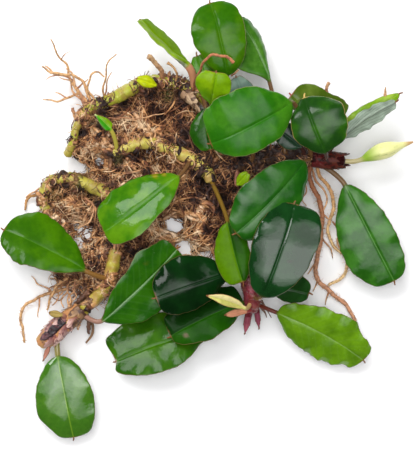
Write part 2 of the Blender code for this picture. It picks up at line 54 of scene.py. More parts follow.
print("Blender", bpy.app.version_string, "and numpy", np.__version__)

# %% [markdown]
# ## Reading places off the view
#
# The clump is looked at from straight above, so any place on it can be written as the pixel where
# it shows and its height over the table. One real size sets the scale: the longest leaf blade is
# 35 mm long and covers 106 pixels. The eye is 600 mm up, so a place nearer to it shows a little
# further out, and `at_photo` undoes that. Everything is in millimetres until a mesh is made.

# %% From a pixel and a height to a place
MM = 0.001
LONGEST_BLADE_MM = 35.0
LONGEST_BLADE_PX = 106.0
MM_PER_PX = LONGEST_BLADE_MM / LONGEST_BLADE_PX
FRAME_PX = (416.0, 454.0)
VIEW_HEIGHT_MM = 600.0
VIEW_MIDDLE_PX = (208.0, 227.0)
CLUMP_MIDDLE_PX = (207.2, 222.6)


def at_photo(x_px, y_px, height):
    """The place in millimetres that shows at this pixel from this height; takes arrays as well."""
    spread = MM_PER_PX * (1 - height / VIEW_HEIGHT_MM)
    x = (x_px - VIEW_MIDDLE_PX[0]) * spread + (VIEW_MIDDLE_PX[0] - CLUMP_MIDDLE_PX[0]) * MM_PER_PX
    y = (y_px - VIEW_MIDDLE_PX[1]) * spread + (VIEW_MIDDLE_PX[1] - CLUMP_MIDDLE_PX[1]) * MM_PER_PX
    return np.stack(np.broadcast_arrays(x, -y, height), axis=-1).astype(float)


def srgb(red, green, blue):
    """A colour written as the eye picks it, 0 to 255, as the linear colour that a shader takes."""
    shares = np.array((red, green, blue)) / 255.0
    linear = np.where(shares <= 0.04045, shares / 12.92, ((shares + 0.055) / 1.055) ** 2.4)
    return (*(float(value) for value in linear), 1.0)


print("one pixel is", round(MM_PER_PX, 3), "mm at table height")

# %% [markdown]
# ## The table, the lights and the eye
#
# A product photograph on white has a table that comes out as pure white and broad soft light from
# above, which the wet leaves mirror as pale patches. A real softbox is brightest in its middle, so
# this one is four panels of shrinking size. A small bright light stands at the upper left. A light
# beyond the far side pulls the soft shadows down, and a weak one above fills them; these two are
# left out of reflections, so that they add no patches of their own. The sky is dim, and dimmer
# still for mirror rays, so that the greens stay deep where no light is mirrored.

# %% The camera
eye = bpy.data.objects.new("eye", bpy.data.cameras.new("eye"))
bpy.context.scene.collection.objects.link(eye)
eye.location = at_photo(*VIEW_MIDDLE_PX, VIEW_HEIGHT_MM) * MM
eye.data.sensor_width = 36.0
eye.data.lens = eye.data.sensor_width * VIEW_HEIGHT_MM / (FRAME_PX[1] * MM_PER_PX)
eye.data.clip_start = 0.01
eye.data.clip_end = 20.0
bpy.context.scene.camera = eye
bpy.context.scene.view_settings.view_transform = "Standard"
print("camera lens", round(eye.data.lens, 1), "mm")

# %% The table
TABLE_SIZE = 6.0
TABLE_DROP_MM = 0.05
TABLE_WHITE = (0.93, 0.93, 0.935, 1.0)
bpy.ops.mesh.primitive_plane_add(size=TABLE_SIZE, location=(0, 0, -TABLE_DROP_MM * MM))
table = bpy.context.object
table.name = "table"
table_finish = bpy.data.materials.new("white_table")
table_finish.use_nodes = True
table_shader = table_finish.node_tree.nodes["Principled BSDF"]
table_shader.inputs["Base Color"].default_value = TABLE_WHITE
table_shader.inputs["Roughness"].default_value = 0.9
table_shader.inputs["Specular IOR Level"].default_value = 0.0
table.data.materials.append(table_finish)
print("table,", TABLE_SIZE, "m wide")


# %% The lights
def softbox(name, direction, distance, width, brightness, mirrored=True):
    """A square soft light that faces the clump. If it isn't mirrored, reflections leave it out."""
    light = bpy.data.lights.new(name, "AREA")
    light.shape = "SQUARE"
    light.size = width
    light.energy = brightness * math.pi * width * width
    box = bpy.data.objects.new(name, light)
    bpy.context.scene.collection.objects.link(box)
    towards = np.array(direction, float) / np.linalg.norm(direction)
    box.location = towards * distance
    box.rotation_mode = "QUATERNION"
    box.rotation_quaternion = box.location.to_track_quat("Z", "Y")
    box.visible_camera = False
    box.visible_glossy = mirrored
    return box


ABOVE = (0.0, 0.0, 1.0)
LIGHTS_AWAY = 0.9
PANEL_STEP = 0.002
PANEL_WIDTH_BRIGHTNESS_TURN = ((0.95, 0.75, 45), (0.76, 0.7, 30), (0.56, 0.8, 12), (0.34, 0.9, 0))
for number, (width, brightness, turn) in enumerate(PANEL_WIDTH_BRIGHTNESS_TURN):
    away = LIGHTS_AWAY - PANEL_STEP * number
    panel = softbox(f"light_above_{number}", ABOVE, away, width, brightness)
    panel.rotation_mode = "XYZ"
    panel.rotation_euler = (0, 0, math.radians(turn))
softbox("light_upper_left", (-0.75, 0.75, 0.95), LIGHTS_AWAY, 0.34, 5.6)
softbox("light_far_side", (-0.25, 1.0, 1.1), LIGHTS_AWAY, 0.4, 8.6, mirrored=False)
softbox("light_fill_above", ABOVE, 0.89, 0.5, 1.2, mirrored=False)

# %% The sky
SKY_COLOUR = (1.0, 0.985, 1.0, 1.0)
SKY_STRENGTH = 0.38
SKY_MIRRORED = 0.05
sky = bpy.data.worlds.new("sky")
sky.use_nodes = True
bpy.context.scene.world = sky
sky_nodes = sky.node_tree.nodes
rays = sky_nodes.new("ShaderNodeLightPath")
strength = sky_nodes.new("ShaderNodeMapRange")
strength.inputs["To Min"].default_value = SKY_STRENGTH
strength.inputs["To Max"].default_value = SKY_MIRRORED
sky.node_tree.links.new(rays.outputs["Is Glossy Ray"], strength.inputs["Value"])
shown = sky_nodes.new("ShaderNodeMath")
shown.operation = "MAXIMUM"
sky.node_tree.links.new(strength.outputs["Result"], shown.inputs[0])
sky.node_tree.links.new(rays.outputs["Is Camera Ray"], shown.inputs[1])
sky.node_tree.links.new(shown.outputs["Value"], sky_nodes["Background"].inputs["Strength"])
sky_nodes["Background"].inputs["Color"].default_value = SKY_COLOUR
print("the sky is white to the eye,", SKY_MIRRORED, "in mirror rays and", SKY_STRENGTH, "to the rest")

# %% [markdown]
# ## Skins made of rings
#
# A leaf, a stem and a root hair are all the same thing to a mesh: rings of points along a line,
# with a skin between the rings and a cap at each end. Curves with a bevel could make the round
# ones, but a leaf needs rings of its own shape, and a felt needs thousands of hairs at once, which
# arrays make in one go. So one small set of helpers makes them all. Each point can also carry
# traits, such as how far it is from the leaf's margin, and the materials read those later.


# %% Mesh helpers
def mesh_piece(name, points, face_sets, finish, traits=None):
    """A mesh object from points in millimetres and arrays of faces; traits spread over the points."""
    mesh = bpy.data.meshes.new(name)
    points = np.asarray(points, float)
    mesh.vertices.add(points.size // 3)
    mesh.vertices.foreach_set("co", (points * MM).astype(np.float32).ravel())
    corners = np.concatenate([faces.ravel() for faces in face_sets])
    counts = np.concatenate([np.full(len(faces), faces.shape[1]) for faces in face_sets])
    mesh.loops.add(len(corners))
    mesh.loops.foreach_set("vertex_index", corners.astype(np.int32))
    mesh.polygons.add(len(counts))
    mesh.polygons.foreach_set("loop_start", (np.cumsum(counts) - counts).astype(np.int32))
    for trait, values in (traits or {}).items():
        layer = mesh.attributes.new(trait, "FLOAT", "POINT")
        spread = np.broadcast_to(values, points.shape[:-1])
        layer.data.foreach_set("value", spread.astype(np.float32).ravel())
    mesh.update(calc_edges=True)
    mesh.materials.append(finish)
    mesh.shade_smooth()
    piece = bpy.data.objects.new(name, mesh)
    bpy.context.scene.collection.objects.link(piece)
    return piece


def ring_faces(ring_count, sides, skins=1):
    """Quads between the rings of each skin, and its two caps."""
    ring = np.arange(ring_count - 1)[:, None] * sides
    side = np.arange(sides)[None, :]
    onward = (side + 1) % sides
    corners = (ring + side, ring + onward, ring + sides + onward, ring + sides + side)
    quads = np.stack(corners, axis=-1).reshape(-1, 4)
    caps = np.stack((np.arange(sides)[::-1], (ring_count - 1) * sides + np.arange(sides)))
    first = (np.arange(skins) * ring_count * sides)[:, None, None]
    return [(first + quads).reshape(-1, 4), (first + caps).reshape(-1, sides)]


print("a unit pipe has", ring_faces(2, 8)[0].shape[0], "quads")


# %% Rings along a path
def across_path(path):
    """Unit vectors along a path and to its right and below it, for one path or for many."""
    heading = np.gradient(path, axis=-2)
    heading /= np.linalg.norm(heading, axis=-1, keepdims=True) + 1e-9
    right = np.cross(heading, (0.0, 0.02, 1.0))
    right /= np.linalg.norm(right, axis=-1, keepdims=True) + 1e-9
    return heading, right, np.cross(heading, right)


def pipe_rings(path, radii, sides):
    """Round rings along a path. radii hold one number for each point, or one for each side of it."""
    heading, right, below = across_path(path)
    angle = np.linspace(0, 2 * math.pi, sides, endpoint=False)
    if np.ndim(radii) < np.ndim(path):
        radii = np.asarray(radii)[..., None]
    spokes = right[..., None, :] * np.cos(angle)[:, None] + below[..., None, :] * np.sin(angle)[:, None]
    return path[..., None, :] + spokes * np.broadcast_to(radii, spokes.shape[:-1])[..., None]


def smooth_path(stations, steps):
    """A curve through the stations, with steps points to a span; it carries radii along as well."""
    stations = np.asarray(stations, float)
    padded = np.vstack((2 * stations[0] - stations[1], stations, 2 * stations[-1] - stations[-2]))
    t = np.linspace(0, 1, steps, endpoint=False)[:, None]
    spans = []
    for a, b, c, d in zip(padded, padded[1:], padded[2:], padded[3:]):
        bow, twist = 2 * a - 5 * b + 4 * c - d, 3 * b - a - 3 * c + d
        spans.append(0.5 * (2 * b + (c - a) * t + bow * t ** 2 + twist * t ** 3))
    return np.vstack((*spans, stations[-1:]))


def stations_mm(stations):
    """Stations written as pixel, pixel, height and radius, as places with their radius."""
    values = np.array(stations, float)
    return np.column_stack((at_photo(values[:, 0], values[:, 1], values[:, 2]), values[:, 3]))


print("three stations make", len(smooth_path(((0, 0), (1, 1), (2, 0)), 8)), "places")


# %% Distances, soft steps and bumps
def run_along(path):
    """The distance covered at each point of a path, which starts at 0."""
    return np.concatenate(([0.0], np.cumsum(np.linalg.norm(np.diff(path[:, :3], axis=0), axis=1))))


def at_distances(path, distances):
    """The path's places and radii at these distances along it."""
    run = run_along(path)
    return np.column_stack([np.interp(distances, run, column) for column in path.T])


def ease(value, low, high):
    """0 below low and 1 above high, with a soft start and end."""
    share = np.clip((value - low) / (high - low), 0, 1)
    return share * share * (3 - 2 * share)


def ripples(points, size_mm, seed, waves=5):
    """Smooth bumps of about 1 over points in space: a few crossing waves of about this size."""
    places = points.reshape(-1, 3)
    dice = np.random.default_rng(seed)
    total = 0.0
    for _ in range(waves):
        direction = dice.normal(size=3)
        direction /= np.linalg.norm(direction)
        pace = 2 * math.pi / (size_mm * dice.uniform(0.7, 1.5))
        total = total + np.sin(places @ direction * pace + dice.uniform(0, 2 * math.pi))
    return (total / math.sqrt(waves)).reshape(points.shape[:-1])


print("halfway, ease gives", float(ease(0.5, 0.0, 1.0)))


# %% Putting a piece on the clump
def belongs(piece, slot, *nodes):
    """The piece rides on the clump's one body and stands for the nodes it covers; slot is not used."""
    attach(piece, "root")
    if nodes:
        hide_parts(*nodes)
    return piece


print("every piece rides on the body root")

# %% [markdown]
# ## Finishes from nodes
#
# Every finish here is a Principled shader fed by a few nodes: noise for patches, a trait that the
# mesh carries for anything that follows the leaf, such as its midrib or margin, and a band that
# turns a number into a soft mask. A small class keeps those calls short, and takes colours as the
# eye picks them. Numbers that are the same all over, such as the roughness of the film of water,
# are set on the shader's own sockets.


# %% A short way to write materials
class Finish:
    """A material in the making: its shader, and short ways to add the nodes that feed it."""

    def __init__(self, name, roughness=0.5, water=0.0, water_roughness=0.04, shine=0.5):
        self.material = bpy.data.materials.new(name)
        self.material.use_nodes = True
        self.tree = self.material.node_tree
        self.shader = self.tree.nodes["Principled BSDF"]
        self.shader.inputs["Roughness"].default_value = roughness
        self.shader.inputs["Coat Weight"].default_value = water
        self.shader.inputs["Coat Roughness"].default_value = water_roughness
        self.shader.inputs["Coat IOR"].default_value = 1.45
        self.shader.inputs["Specular IOR Level"].default_value = shine
        self.place = self.tree.nodes.new("ShaderNodeTexCoord").outputs["Object"]

    def feed(self, socket, value):
        """Links a node's output, or sets a number or a colour of three numbers from 0 to 255."""
        if isinstance(value, bpy.types.NodeSocket):
            self.tree.links.new(value, socket)
        elif np.shape(value) == (3,):
            socket.default_value = srgb(*value)
        else:
            socket.default_value = value

    def trait(self, name):
        node = self.tree.nodes.new("ShaderNodeAttribute")
        node.attribute_name = name
        return node.outputs["Fac"]

    def noise(self, size_mm, detail=3.0):
        node = self.tree.nodes.new("ShaderNodeTexNoise")
        node.inputs["Scale"].default_value = 1 / (size_mm * MM)
        node.inputs["Detail"].default_value = detail
        self.feed(node.inputs["Vector"], self.place)
        return node.outputs["Fac"]

    def cells(self, size_mm):
        node = self.tree.nodes.new("ShaderNodeTexVoronoi")
        node.inputs["Scale"].default_value = 1 / (size_mm * MM)
        self.feed(node.inputs["Vector"], self.place)
        return node.outputs["Distance"]

    def band(self, value, low, high, start=0.0, end=1.0):
        """Start where the value is at low and end where it is at high, with a soft way between."""
        node = self.tree.nodes.new("ShaderNodeMapRange")
        node.interpolation_type = "SMOOTHSTEP"
        ends = {"From Min": low, "From Max": high, "To Min": start, "To Max": end}
        for socket, number in ends.items():
            node.inputs[socket].default_value = number
        self.feed(node.inputs["Value"], value)
        return node.outputs["Result"]

    def math(self, operation, first, second=0.0):
        node = self.tree.nodes.new("ShaderNodeMath")
        node.operation = operation
        self.feed(node.inputs[0], first)
        self.feed(node.inputs[1], second)
        return node.outputs["Value"]

    def mix(self, share, first, second):
        node = self.tree.nodes.new("ShaderNodeMix")
        node.data_type = "RGBA"
        self.feed(node.inputs[0], share)
        self.feed(node.inputs[6], first)
        self.feed(node.inputs[7], second)
        return node.outputs[2]

    def bump(self, height, depth_mm):
        node = self.tree.nodes.new("ShaderNodeBump")
        node.inputs["Distance"].default_value = depth_mm * MM
        self.feed(node.inputs["Height"], height)
        return node.outputs["Normal"]

    def done(self, colour, normal=None, roughness=None):
        self.feed(self.shader.inputs["Base Color"], colour)
        if normal is not None:
            self.feed(self.shader.inputs["Normal"], normal)
            self.feed(self.shader.inputs["Coat Normal"], normal)
        if roughness is not None:
            self.feed(self.shader.inputs["Roughness"], roughness)
        return self.material


print("a picked grey of 128 is", round(srgb(128, 128, 128)[0], 3), "to a shader")

# %% [markdown]
# ## The leaf as one skin
#
# A bucephalandra leaf is thick, leathery and slightly puffed: each half swells a little between
# midrib and margin, the midrib lies in a groove and shows as a keel below, the margin waves, and a
# dry brown spur stands out of a notch at the tip. Sculpting 26 of them would take days, and a
# flat outline with thickness would lose the swell that shapes the mirrored light.
#
# So the leaf is a loft. Each ring is a flattened section, and its size, lift and twist are
# formulas of two numbers: `t` runs along the midrib and `v` across from margin to margin. Stalk,
# blade and spur are rings of the same skin, so the stalk flows into the blade.

# %% What a leaf is like unless its own facts say otherwise
LEAF_USUAL = dict(
    slot="leaf", widest=0.5, fullness=(1.6, 1.6), flat=2.0, bend=0.0, roll=0, fold=0.0, puff=0.03,
    groove=1.0, crinkle=0.16, crinkle_mm=9.0, wave=0.2, waves=2, ragged=0.16, ruffle=0.14, dents=(),
    lobes=(0.0, 0.5), veins=11, vein_slant=2.4, vein_mm=0.012, stalk_radius=0.7, spur=1.4,
    rib_share=0.25, margin=(112, 92, 58), below=(128, 142, 118), back_noise=0.7,
    stalk=(104, 74, 44), spur_colour=(120, 78, 46), marks=(), mark_colour=(26, 20, 10),
    water=1.0, gloss=1.4, film=0.12, roughness=0.4,
)
STALK_STEPS = 14
BLADE_STEPS = 56
SPUR_STEPS = 6
ACROSS_STEPS = 28
STALK_TURN_MM = 3.5
SPUR_CURL = 0.25
SPUR_END_MM = 0.22
BLADE_HALF_THICKNESS_MM = 0.34
TIP_HALF_WIDTH_MM = 0.3
GROOVE_DEPTH_MM = 0.22
GROOVE_WIDTH_MM = 0.34
KEEL_MM = 0.35
FOLD_ROUND_MM = 0.5
TOOTH_MM = 2.6
MARGINS_APART_MM = 50
MARGIN_PHASE = 1.9
OFF_BLADE_MM = 9.0
LOBE_SHARPNESS = 14
print("a leaf has", len(LEAF_USUAL), "usual facts")


# %% Widths and turns
def blade_width(t, widest, fullness):
    """Share of the full half width at t along the midrib: 1 is a pointed end and 2 a round one."""
    away = np.where(t < widest, (widest - t) / widest, (t - widest) / (1 - widest))
    end = np.where(t < widest, fullness[0], fullness[1])
    return np.maximum(0.0, 1 - away * away) ** (1 / end)


def ruled_width(widths, foot):
    """Half width from seven rulers across the blade, as a function of t, with soft curves between."""
    stations = np.column_stack((np.linspace(0, math.pi, 9), (foot, *widths, TIP_HALF_WIDTH_MM)))
    halves = smooth_path(stations, 16)
    return lambda t: np.interp(np.arccos(1 - 2 * t), halves[:, 0], halves[:, 1])


def unit(vector):
    return vector / (np.linalg.norm(vector, axis=-1, keepdims=True) + 1e-12)


def turned(vector, axis, degrees):
    """The vector turned about the axis, seen from the axis' tip as anticlockwise."""
    angle = math.radians(degrees)
    return vector * math.cos(angle) + np.cross(axis, vector) * math.sin(angle)


plain = blade_width(0.1, LEAF_USUAL["widest"], LEAF_USUAL["fullness"])
print("near its base a plain blade has", round(float(plain), 2), "of its full width")


# %% The line that a leaf grows along
def stalk_and_midrib(leaf, blade_steps):
    """Places, t and the direction to the right, from the foot of the stalk to the end of the spur."""
    start, base, tip = (at_photo(*leaf[end]) for end in ("start", "base", "tip"))
    axis = unit(tip - base)
    right = turned(unit(np.cross(axis, (0.0, 0.0, 1.0))), axis, leaf["roll"])
    arch = np.cross(right, axis) * leaf["rise"] + right * leaf["bend"]
    t = (1 - np.cos(np.linspace(0, math.pi, blade_steps)))[:, None] / 2
    steepness = leaf["flat"]
    blade = base + (tip - base) * t + arch * (1 - np.abs(2 * t - 1) ** steepness)
    first_heading = unit(tip - base + 2 * steepness * arch)
    last_heading = unit(tip - base - 2 * steepness * arch)
    turn = min(STALK_TURN_MM, np.linalg.norm(base - start) / 3)
    end_pull = base - first_heading * turn
    start_pull = start + (end_pull - start) * 0.4
    s = np.linspace(0, 1, STALK_STEPS, endpoint=False)[:, None]
    stalk = (start * (1 - s) ** 3 + start_pull * 3 * s * (1 - s) ** 2
             + end_pull * 3 * s ** 2 * (1 - s) + base * s ** 3)
    reach = np.linspace(0, 1, SPUR_STEPS + 1)[1:, None]
    spur = tip + (last_heading * reach + right * SPUR_CURL * reach ** 2) * leaf["spur"]
    return np.vstack((stalk, blade, spur)), np.vstack((s - 1, t, 1 + reach)), right


# %% How wide the leaf is
def leaf_half_width(leaf, t_all, v, teeth, grown):
    """Half width towards every side, and the least that the stalk, the tip and the spur keep."""
    t = np.clip(t_all, 0, 1)
    radius = leaf["stalk_radius"]
    if "left" in leaf:
        left, right = (ruled_width(leaf[margin], radius)(t) for margin in ("left", "right"))
        half = np.where(v > 0, right, left)
    else:
        share = blade_width(t, leaf["widest"], leaf["fullness"])
        half = np.where(v > 0, leaf["half_widths"][1], leaf["half_widths"][0]) * share
    half = half + leaf["ragged"] * teeth * grown * np.minimum(1, half / 4)
    for side, place, breadth, amount in leaf["dents"]:
        half = half + amount * np.exp(-((t - place) / breadth) ** 2) * (np.sign(v) == side) * grown
    least = np.where(t_all > 0.5, TIP_HALF_WIDTH_MM, radius)
    least = least + (SPUR_END_MM - least) * np.clip(t_all - 1, 0, 1)
    return np.where(t_all == t, np.maximum(half, least), least), least


# %% How far the leaf swells and waves
def leaf_lift(leaf, t, v, face, half, teeth, grown):
    """How far each point stands off the leaf's plane: cup, waves, swelling, fold, groove, veins."""
    size = np.abs(v)
    from_midrib = size * half
    curl = cup_angle(leaf, v)
    lift = half * (1 - np.cos(size * curl)) / curl * grown
    phase = 2 * math.pi * (leaf["waves"] * t) + MARGIN_PHASE * (v > 0)
    lift = lift + leaf["wave"] * size ** 3 * np.sin(phase) * grown
    lift = lift + leaf["puff"] * half * np.sin(math.pi * size) * grown
    lift = lift + leaf["fold"] * (np.hypot(from_midrib, FOLD_ROUND_MM) - FOLD_ROUND_MM) * grown
    lift = lift + leaf["ruffle"] * size ** 3 * np.roll(teeth, 9, axis=0) * grown
    groove = np.exp(-(from_midrib / GROOVE_WIDTH_MM) ** 2) * grown
    depth = GROOVE_DEPTH_MM * leaf["groove"]
    lift = lift - groove * np.where(face > 0, depth, depth * 0.4 + KEEL_MM)
    ridges = leaf["vein_mm"] * np.sin(2 * math.pi * vein_count(leaf, t, v)) * ease(size, 0.05, 0.2)
    return lift + ridges * ease(1 - size, 0.0, 0.3) * grown


def cup_angle(leaf, v):
    """The angle that each half of the blade curls by, never quite 0."""
    return np.radians(np.where(v > 0, leaf["cup"][1], leaf["cup"][0])) + 1e-5


def vein_count(leaf, t, v):
    """Side veins passed so far along the blade; they slant forward from the midrib."""
    return leaf["veins"] * t - leaf["vein_slant"] * np.abs(v)


# %% Rings across the leaf
def leaf_skin(name, leaf, finish, blade_steps=BLADE_STEPS, across_steps=ACROSS_STEPS):
    """The whole leaf as one closed skin that carries its traits."""
    path, t_all, right = stalk_and_midrib(leaf, blade_steps)
    heading = unit(np.gradient(path, axis=0))
    side = unit(right - heading * (heading @ right)[:, None])
    up = np.cross(side, heading)

    s = np.linspace(-1, 1, across_steps + 1)
    v_top = s - 0.8 * np.sin(2 * math.pi * s) / (2 * math.pi)
    v = np.concatenate((v_top, v_top[-2:0:-1]))[None, :]
    face = np.concatenate((np.ones(across_steps + 1), -np.ones(across_steps - 1)))[None, :]
    size = np.abs(v)
    t = np.clip(t_all, 0, 1)
    on_blade = t_all == t
    grown = ease(t, 0.0, 0.12) * ease(1 - t, 0.0, 0.06) * on_blade
    blade_length = np.linalg.norm(at_photo(*leaf["tip"]) - at_photo(*leaf["base"]))
    margins = np.broadcast_arrays(t * blade_length, MARGINS_APART_MM * np.sign(v), 0.0)
    teeth = ripples(np.stack(margins, axis=-1), TOOTH_MM, len(name))

    half, least = leaf_half_width(leaf, t_all, v, teeth, grown)
    out = half * np.sin(size * cup_angle(leaf, v)) / cup_angle(leaf, v)
    lift = leaf_lift(leaf, t, v, face, half, teeth, grown)
    plump = np.clip(t / 0.3, 0, 1) * on_blade
    thickness = leaf["stalk_radius"] + (BLADE_HALF_THICKNESS_MM - leaf["stalk_radius"]) * plump
    thickness = np.where(t_all >= 1, least, thickness)
    edge = np.where(on_blade, 2 + 2 * plump, 2)
    thick = face * thickness * np.sqrt(np.maximum(0.0, 1 - size ** edge))
    at_base, at_tip = (leaf["lobes"][end] * size ** 1.5 for end in (0, 1))
    forward = at_tip * np.sin(math.pi * t ** LOBE_SHARPNESS) * on_blade
    forward = forward - at_base * np.sin(math.pi * (1 - t) ** LOBE_SHARPNESS) * on_blade
    rings = (path[:, None, :] + side[:, None, :] * (out * np.sign(v))[..., None]
             + up[:, None, :] * (lift + thick)[..., None] + heading[:, None, :] * forward[..., None])

    marked = np.zeros(lift.shape)
    for x_px, y_px, radius, height in leaf["marks"]:
        spot = at_photo(float(x_px), float(y_px), float(path[-1, 2]))
        mark = np.exp(-(np.hypot(rings[..., 0] - spot[0], rings[..., 1] - spot[1]) / radius) ** 4)
        marked = np.maximum(marked, mark * (height == 0))
        rings[..., 2] += np.sqrt(mark) * height
    crinkle = ripples(rings, leaf["crinkle_mm"], len(name))
    rings = rings + up[:, None, :] * (leaf["crinkle"] * crinkle * grown)[..., None]
    traits = {
        "upper": face > 0,
        "from_midrib": size * half,
        "from_margin": np.where(on_blade, (1 - size) * half, OFF_BLADE_MM),
        "from_tip": (1 - t_all) * blade_length,
        "blade": ease(t_all, -0.05, 0.03),
        "vein": vein_count(leaf, t, v),
        "right_half": v > 0,
        "marked": marked,
    }
    return mesh_piece(name, rings, ring_faces(len(path), v.shape[1]), finish, traits)


# %% [markdown]
# ## The finish of a leaf
#
# Under a film of water a leaf is a mirror over a deep green. The green is never even: it has
# lighter patches, paler side veins, a pale midrib, a thin reddish-brown margin and small pale dots.
# The underside is dull and silvery. The film is the shader's coat, nearly smooth, over a softer
# gloss. The traits that the skin carries put each of these where it grows.


# %% The leaf material
MOTTLE_LINEAR = (0.0, 0.02, 0.0, 1.0)


def shaded(colour, share, more=0):
    """A picked colour made darker or lighter, with no number over 255."""
    return [min(255, number * share + more) for number in colour]


def leaf_finish(name, leaf):
    """The wet leaf's material, from the leaf's own colours."""
    green, below = leaf["green"], leaf["below"]
    rib = leaf.get("rib", shaded(green, 1.1, 34))
    made = Finish(name, leaf["roughness"], leaf["water"], leaf["film"], shine=0.05)
    made.shader.inputs["Coat IOR"].default_value = leaf["gloss"]
    bright = leaf.get("bright", shaded(green, 1.12, 10))
    colour = made.mix(made.band(made.noise(7.0), 0.38, 0.66), green, bright)
    if "right_green_and_shade" in leaf:
        colour = made.mix(made.trait("right_half"), colour, leaf["right_green_and_shade"])
    mottle = made.band(made.noise(1.3, 5.0), 0.35, 0.75, 0.0, 0.16)
    colour = made.mix(mottle, colour, MOTTLE_LINEAR)
    wave = made.math("SINE", made.math("MULTIPLY", made.trait("vein"), 2 * math.pi))
    colour = made.mix(made.band(wave, 0.5, 1.0, 0.0, 0.02), colour, rib)
    dots = made.band(made.cells(0.9), 0.05, 0.12, 0.5, 0.0)
    colour = made.mix(made.math("MULTIPLY", dots, made.band(made.noise(4.0), 0.5, 0.62)), colour, rib)
    midrib = made.trait("from_midrib")
    colour = made.mix(made.band(midrib, 0.06, 0.32, leaf["rib_share"], 0.0), colour, rib)
    edge = made.band(made.trait("from_margin"), 0.06, 0.26, 0.75, 0.0)
    colour = made.mix(edge, colour, leaf["margin"])
    colour = made.mix(made.trait("marked"), colour, leaf["mark_colour"])

    shade = made.band(made.noise(2.2, 4.0), 0.4, 0.62, 0.0, leaf["back_noise"])
    back = made.mix(shade, below, shaded(below, 0.7))
    back_vein = made.band(made.math("ADD", wave, made.noise(1.0)), 1.0, 1.5, 0.0, 0.4)
    back = made.mix(back_vein, back, shaded(below, 0.5))
    back_rib = made.band(midrib, 0.1, 0.4, 0.5, 0.0)
    back = made.mix(back_rib, back, shaded(below, 0.45))

    colour = made.mix(made.trait("upper"), back, colour)
    colour = made.mix(made.trait("blade"), leaf["stalk"], colour)
    dry = made.band(made.math("ADD", made.trait("from_tip"), made.noise(0.8)), 0.4, 1.1, 1.0, 0.0)
    colour = made.mix(dry, colour, leaf["spur_colour"])
    fine = made.math("MULTIPLY", made.noise(0.9, 3.0), 0.35)
    normal = made.bump(made.math("ADD", made.noise(2.4, 3.0), fine), 0.06)
    return made.done(colour, normal)


# %% Growing a group of leaves
def grow(leaves, **steps):
    """Builds each leaf of a group in place of its solid."""
    faces = 0
    for name, facts in leaves.items():
        leaf = {**LEAF_USUAL, **facts}
        piece = leaf_skin(name + "_skin", leaf, leaf_finish(name + "_finish", leaf), **steps)
        belongs(piece, leaf["slot"], name)
        faces += len(piece.data.polygons)
    print(len(leaves), "leaves,", faces, "faces")


print("a leaf skin has", (STALK_STEPS + BLADE_STEPS + SPUR_STEPS) * 2 * ACROSS_STEPS, "points")

# %% [markdown]
# ## Leaves at the top
#
# Each leaf is a few plain facts. `start`, `base` and `tip` say where the stalk leaves the stem and
# where the midrib begins and ends, as pixel, pixel and height. `left` and `right` are the widths of
# the two halves at seven rulers from base to tip; a plainer leaf has `half_widths` with the place
# where it is `widest` and the `fullness` of its two ends. `rise` arches the midrib, `flat` makes
# that arch a table, and `bend` bows it to the right. `roll` leans the face to the right, `cup`
# turns the two margins up and `fold` makes a ridge. `wave`, `ruffle`, `ragged` and `dents` shape
# the margins, and `lobes` reach back at the base and forward at the tip. The colours are what the
# eye picks where no light is mirrored; `water`, `gloss` and `film` are the wet film's strength,
# index and blur. `marks` are spots, or drops where they have a height.
#
# The top group is a folded narrow leaf on a brown stalk, a broad bright one, a lime one over it,
# a grey one that shows its back, and one that leans away behind.

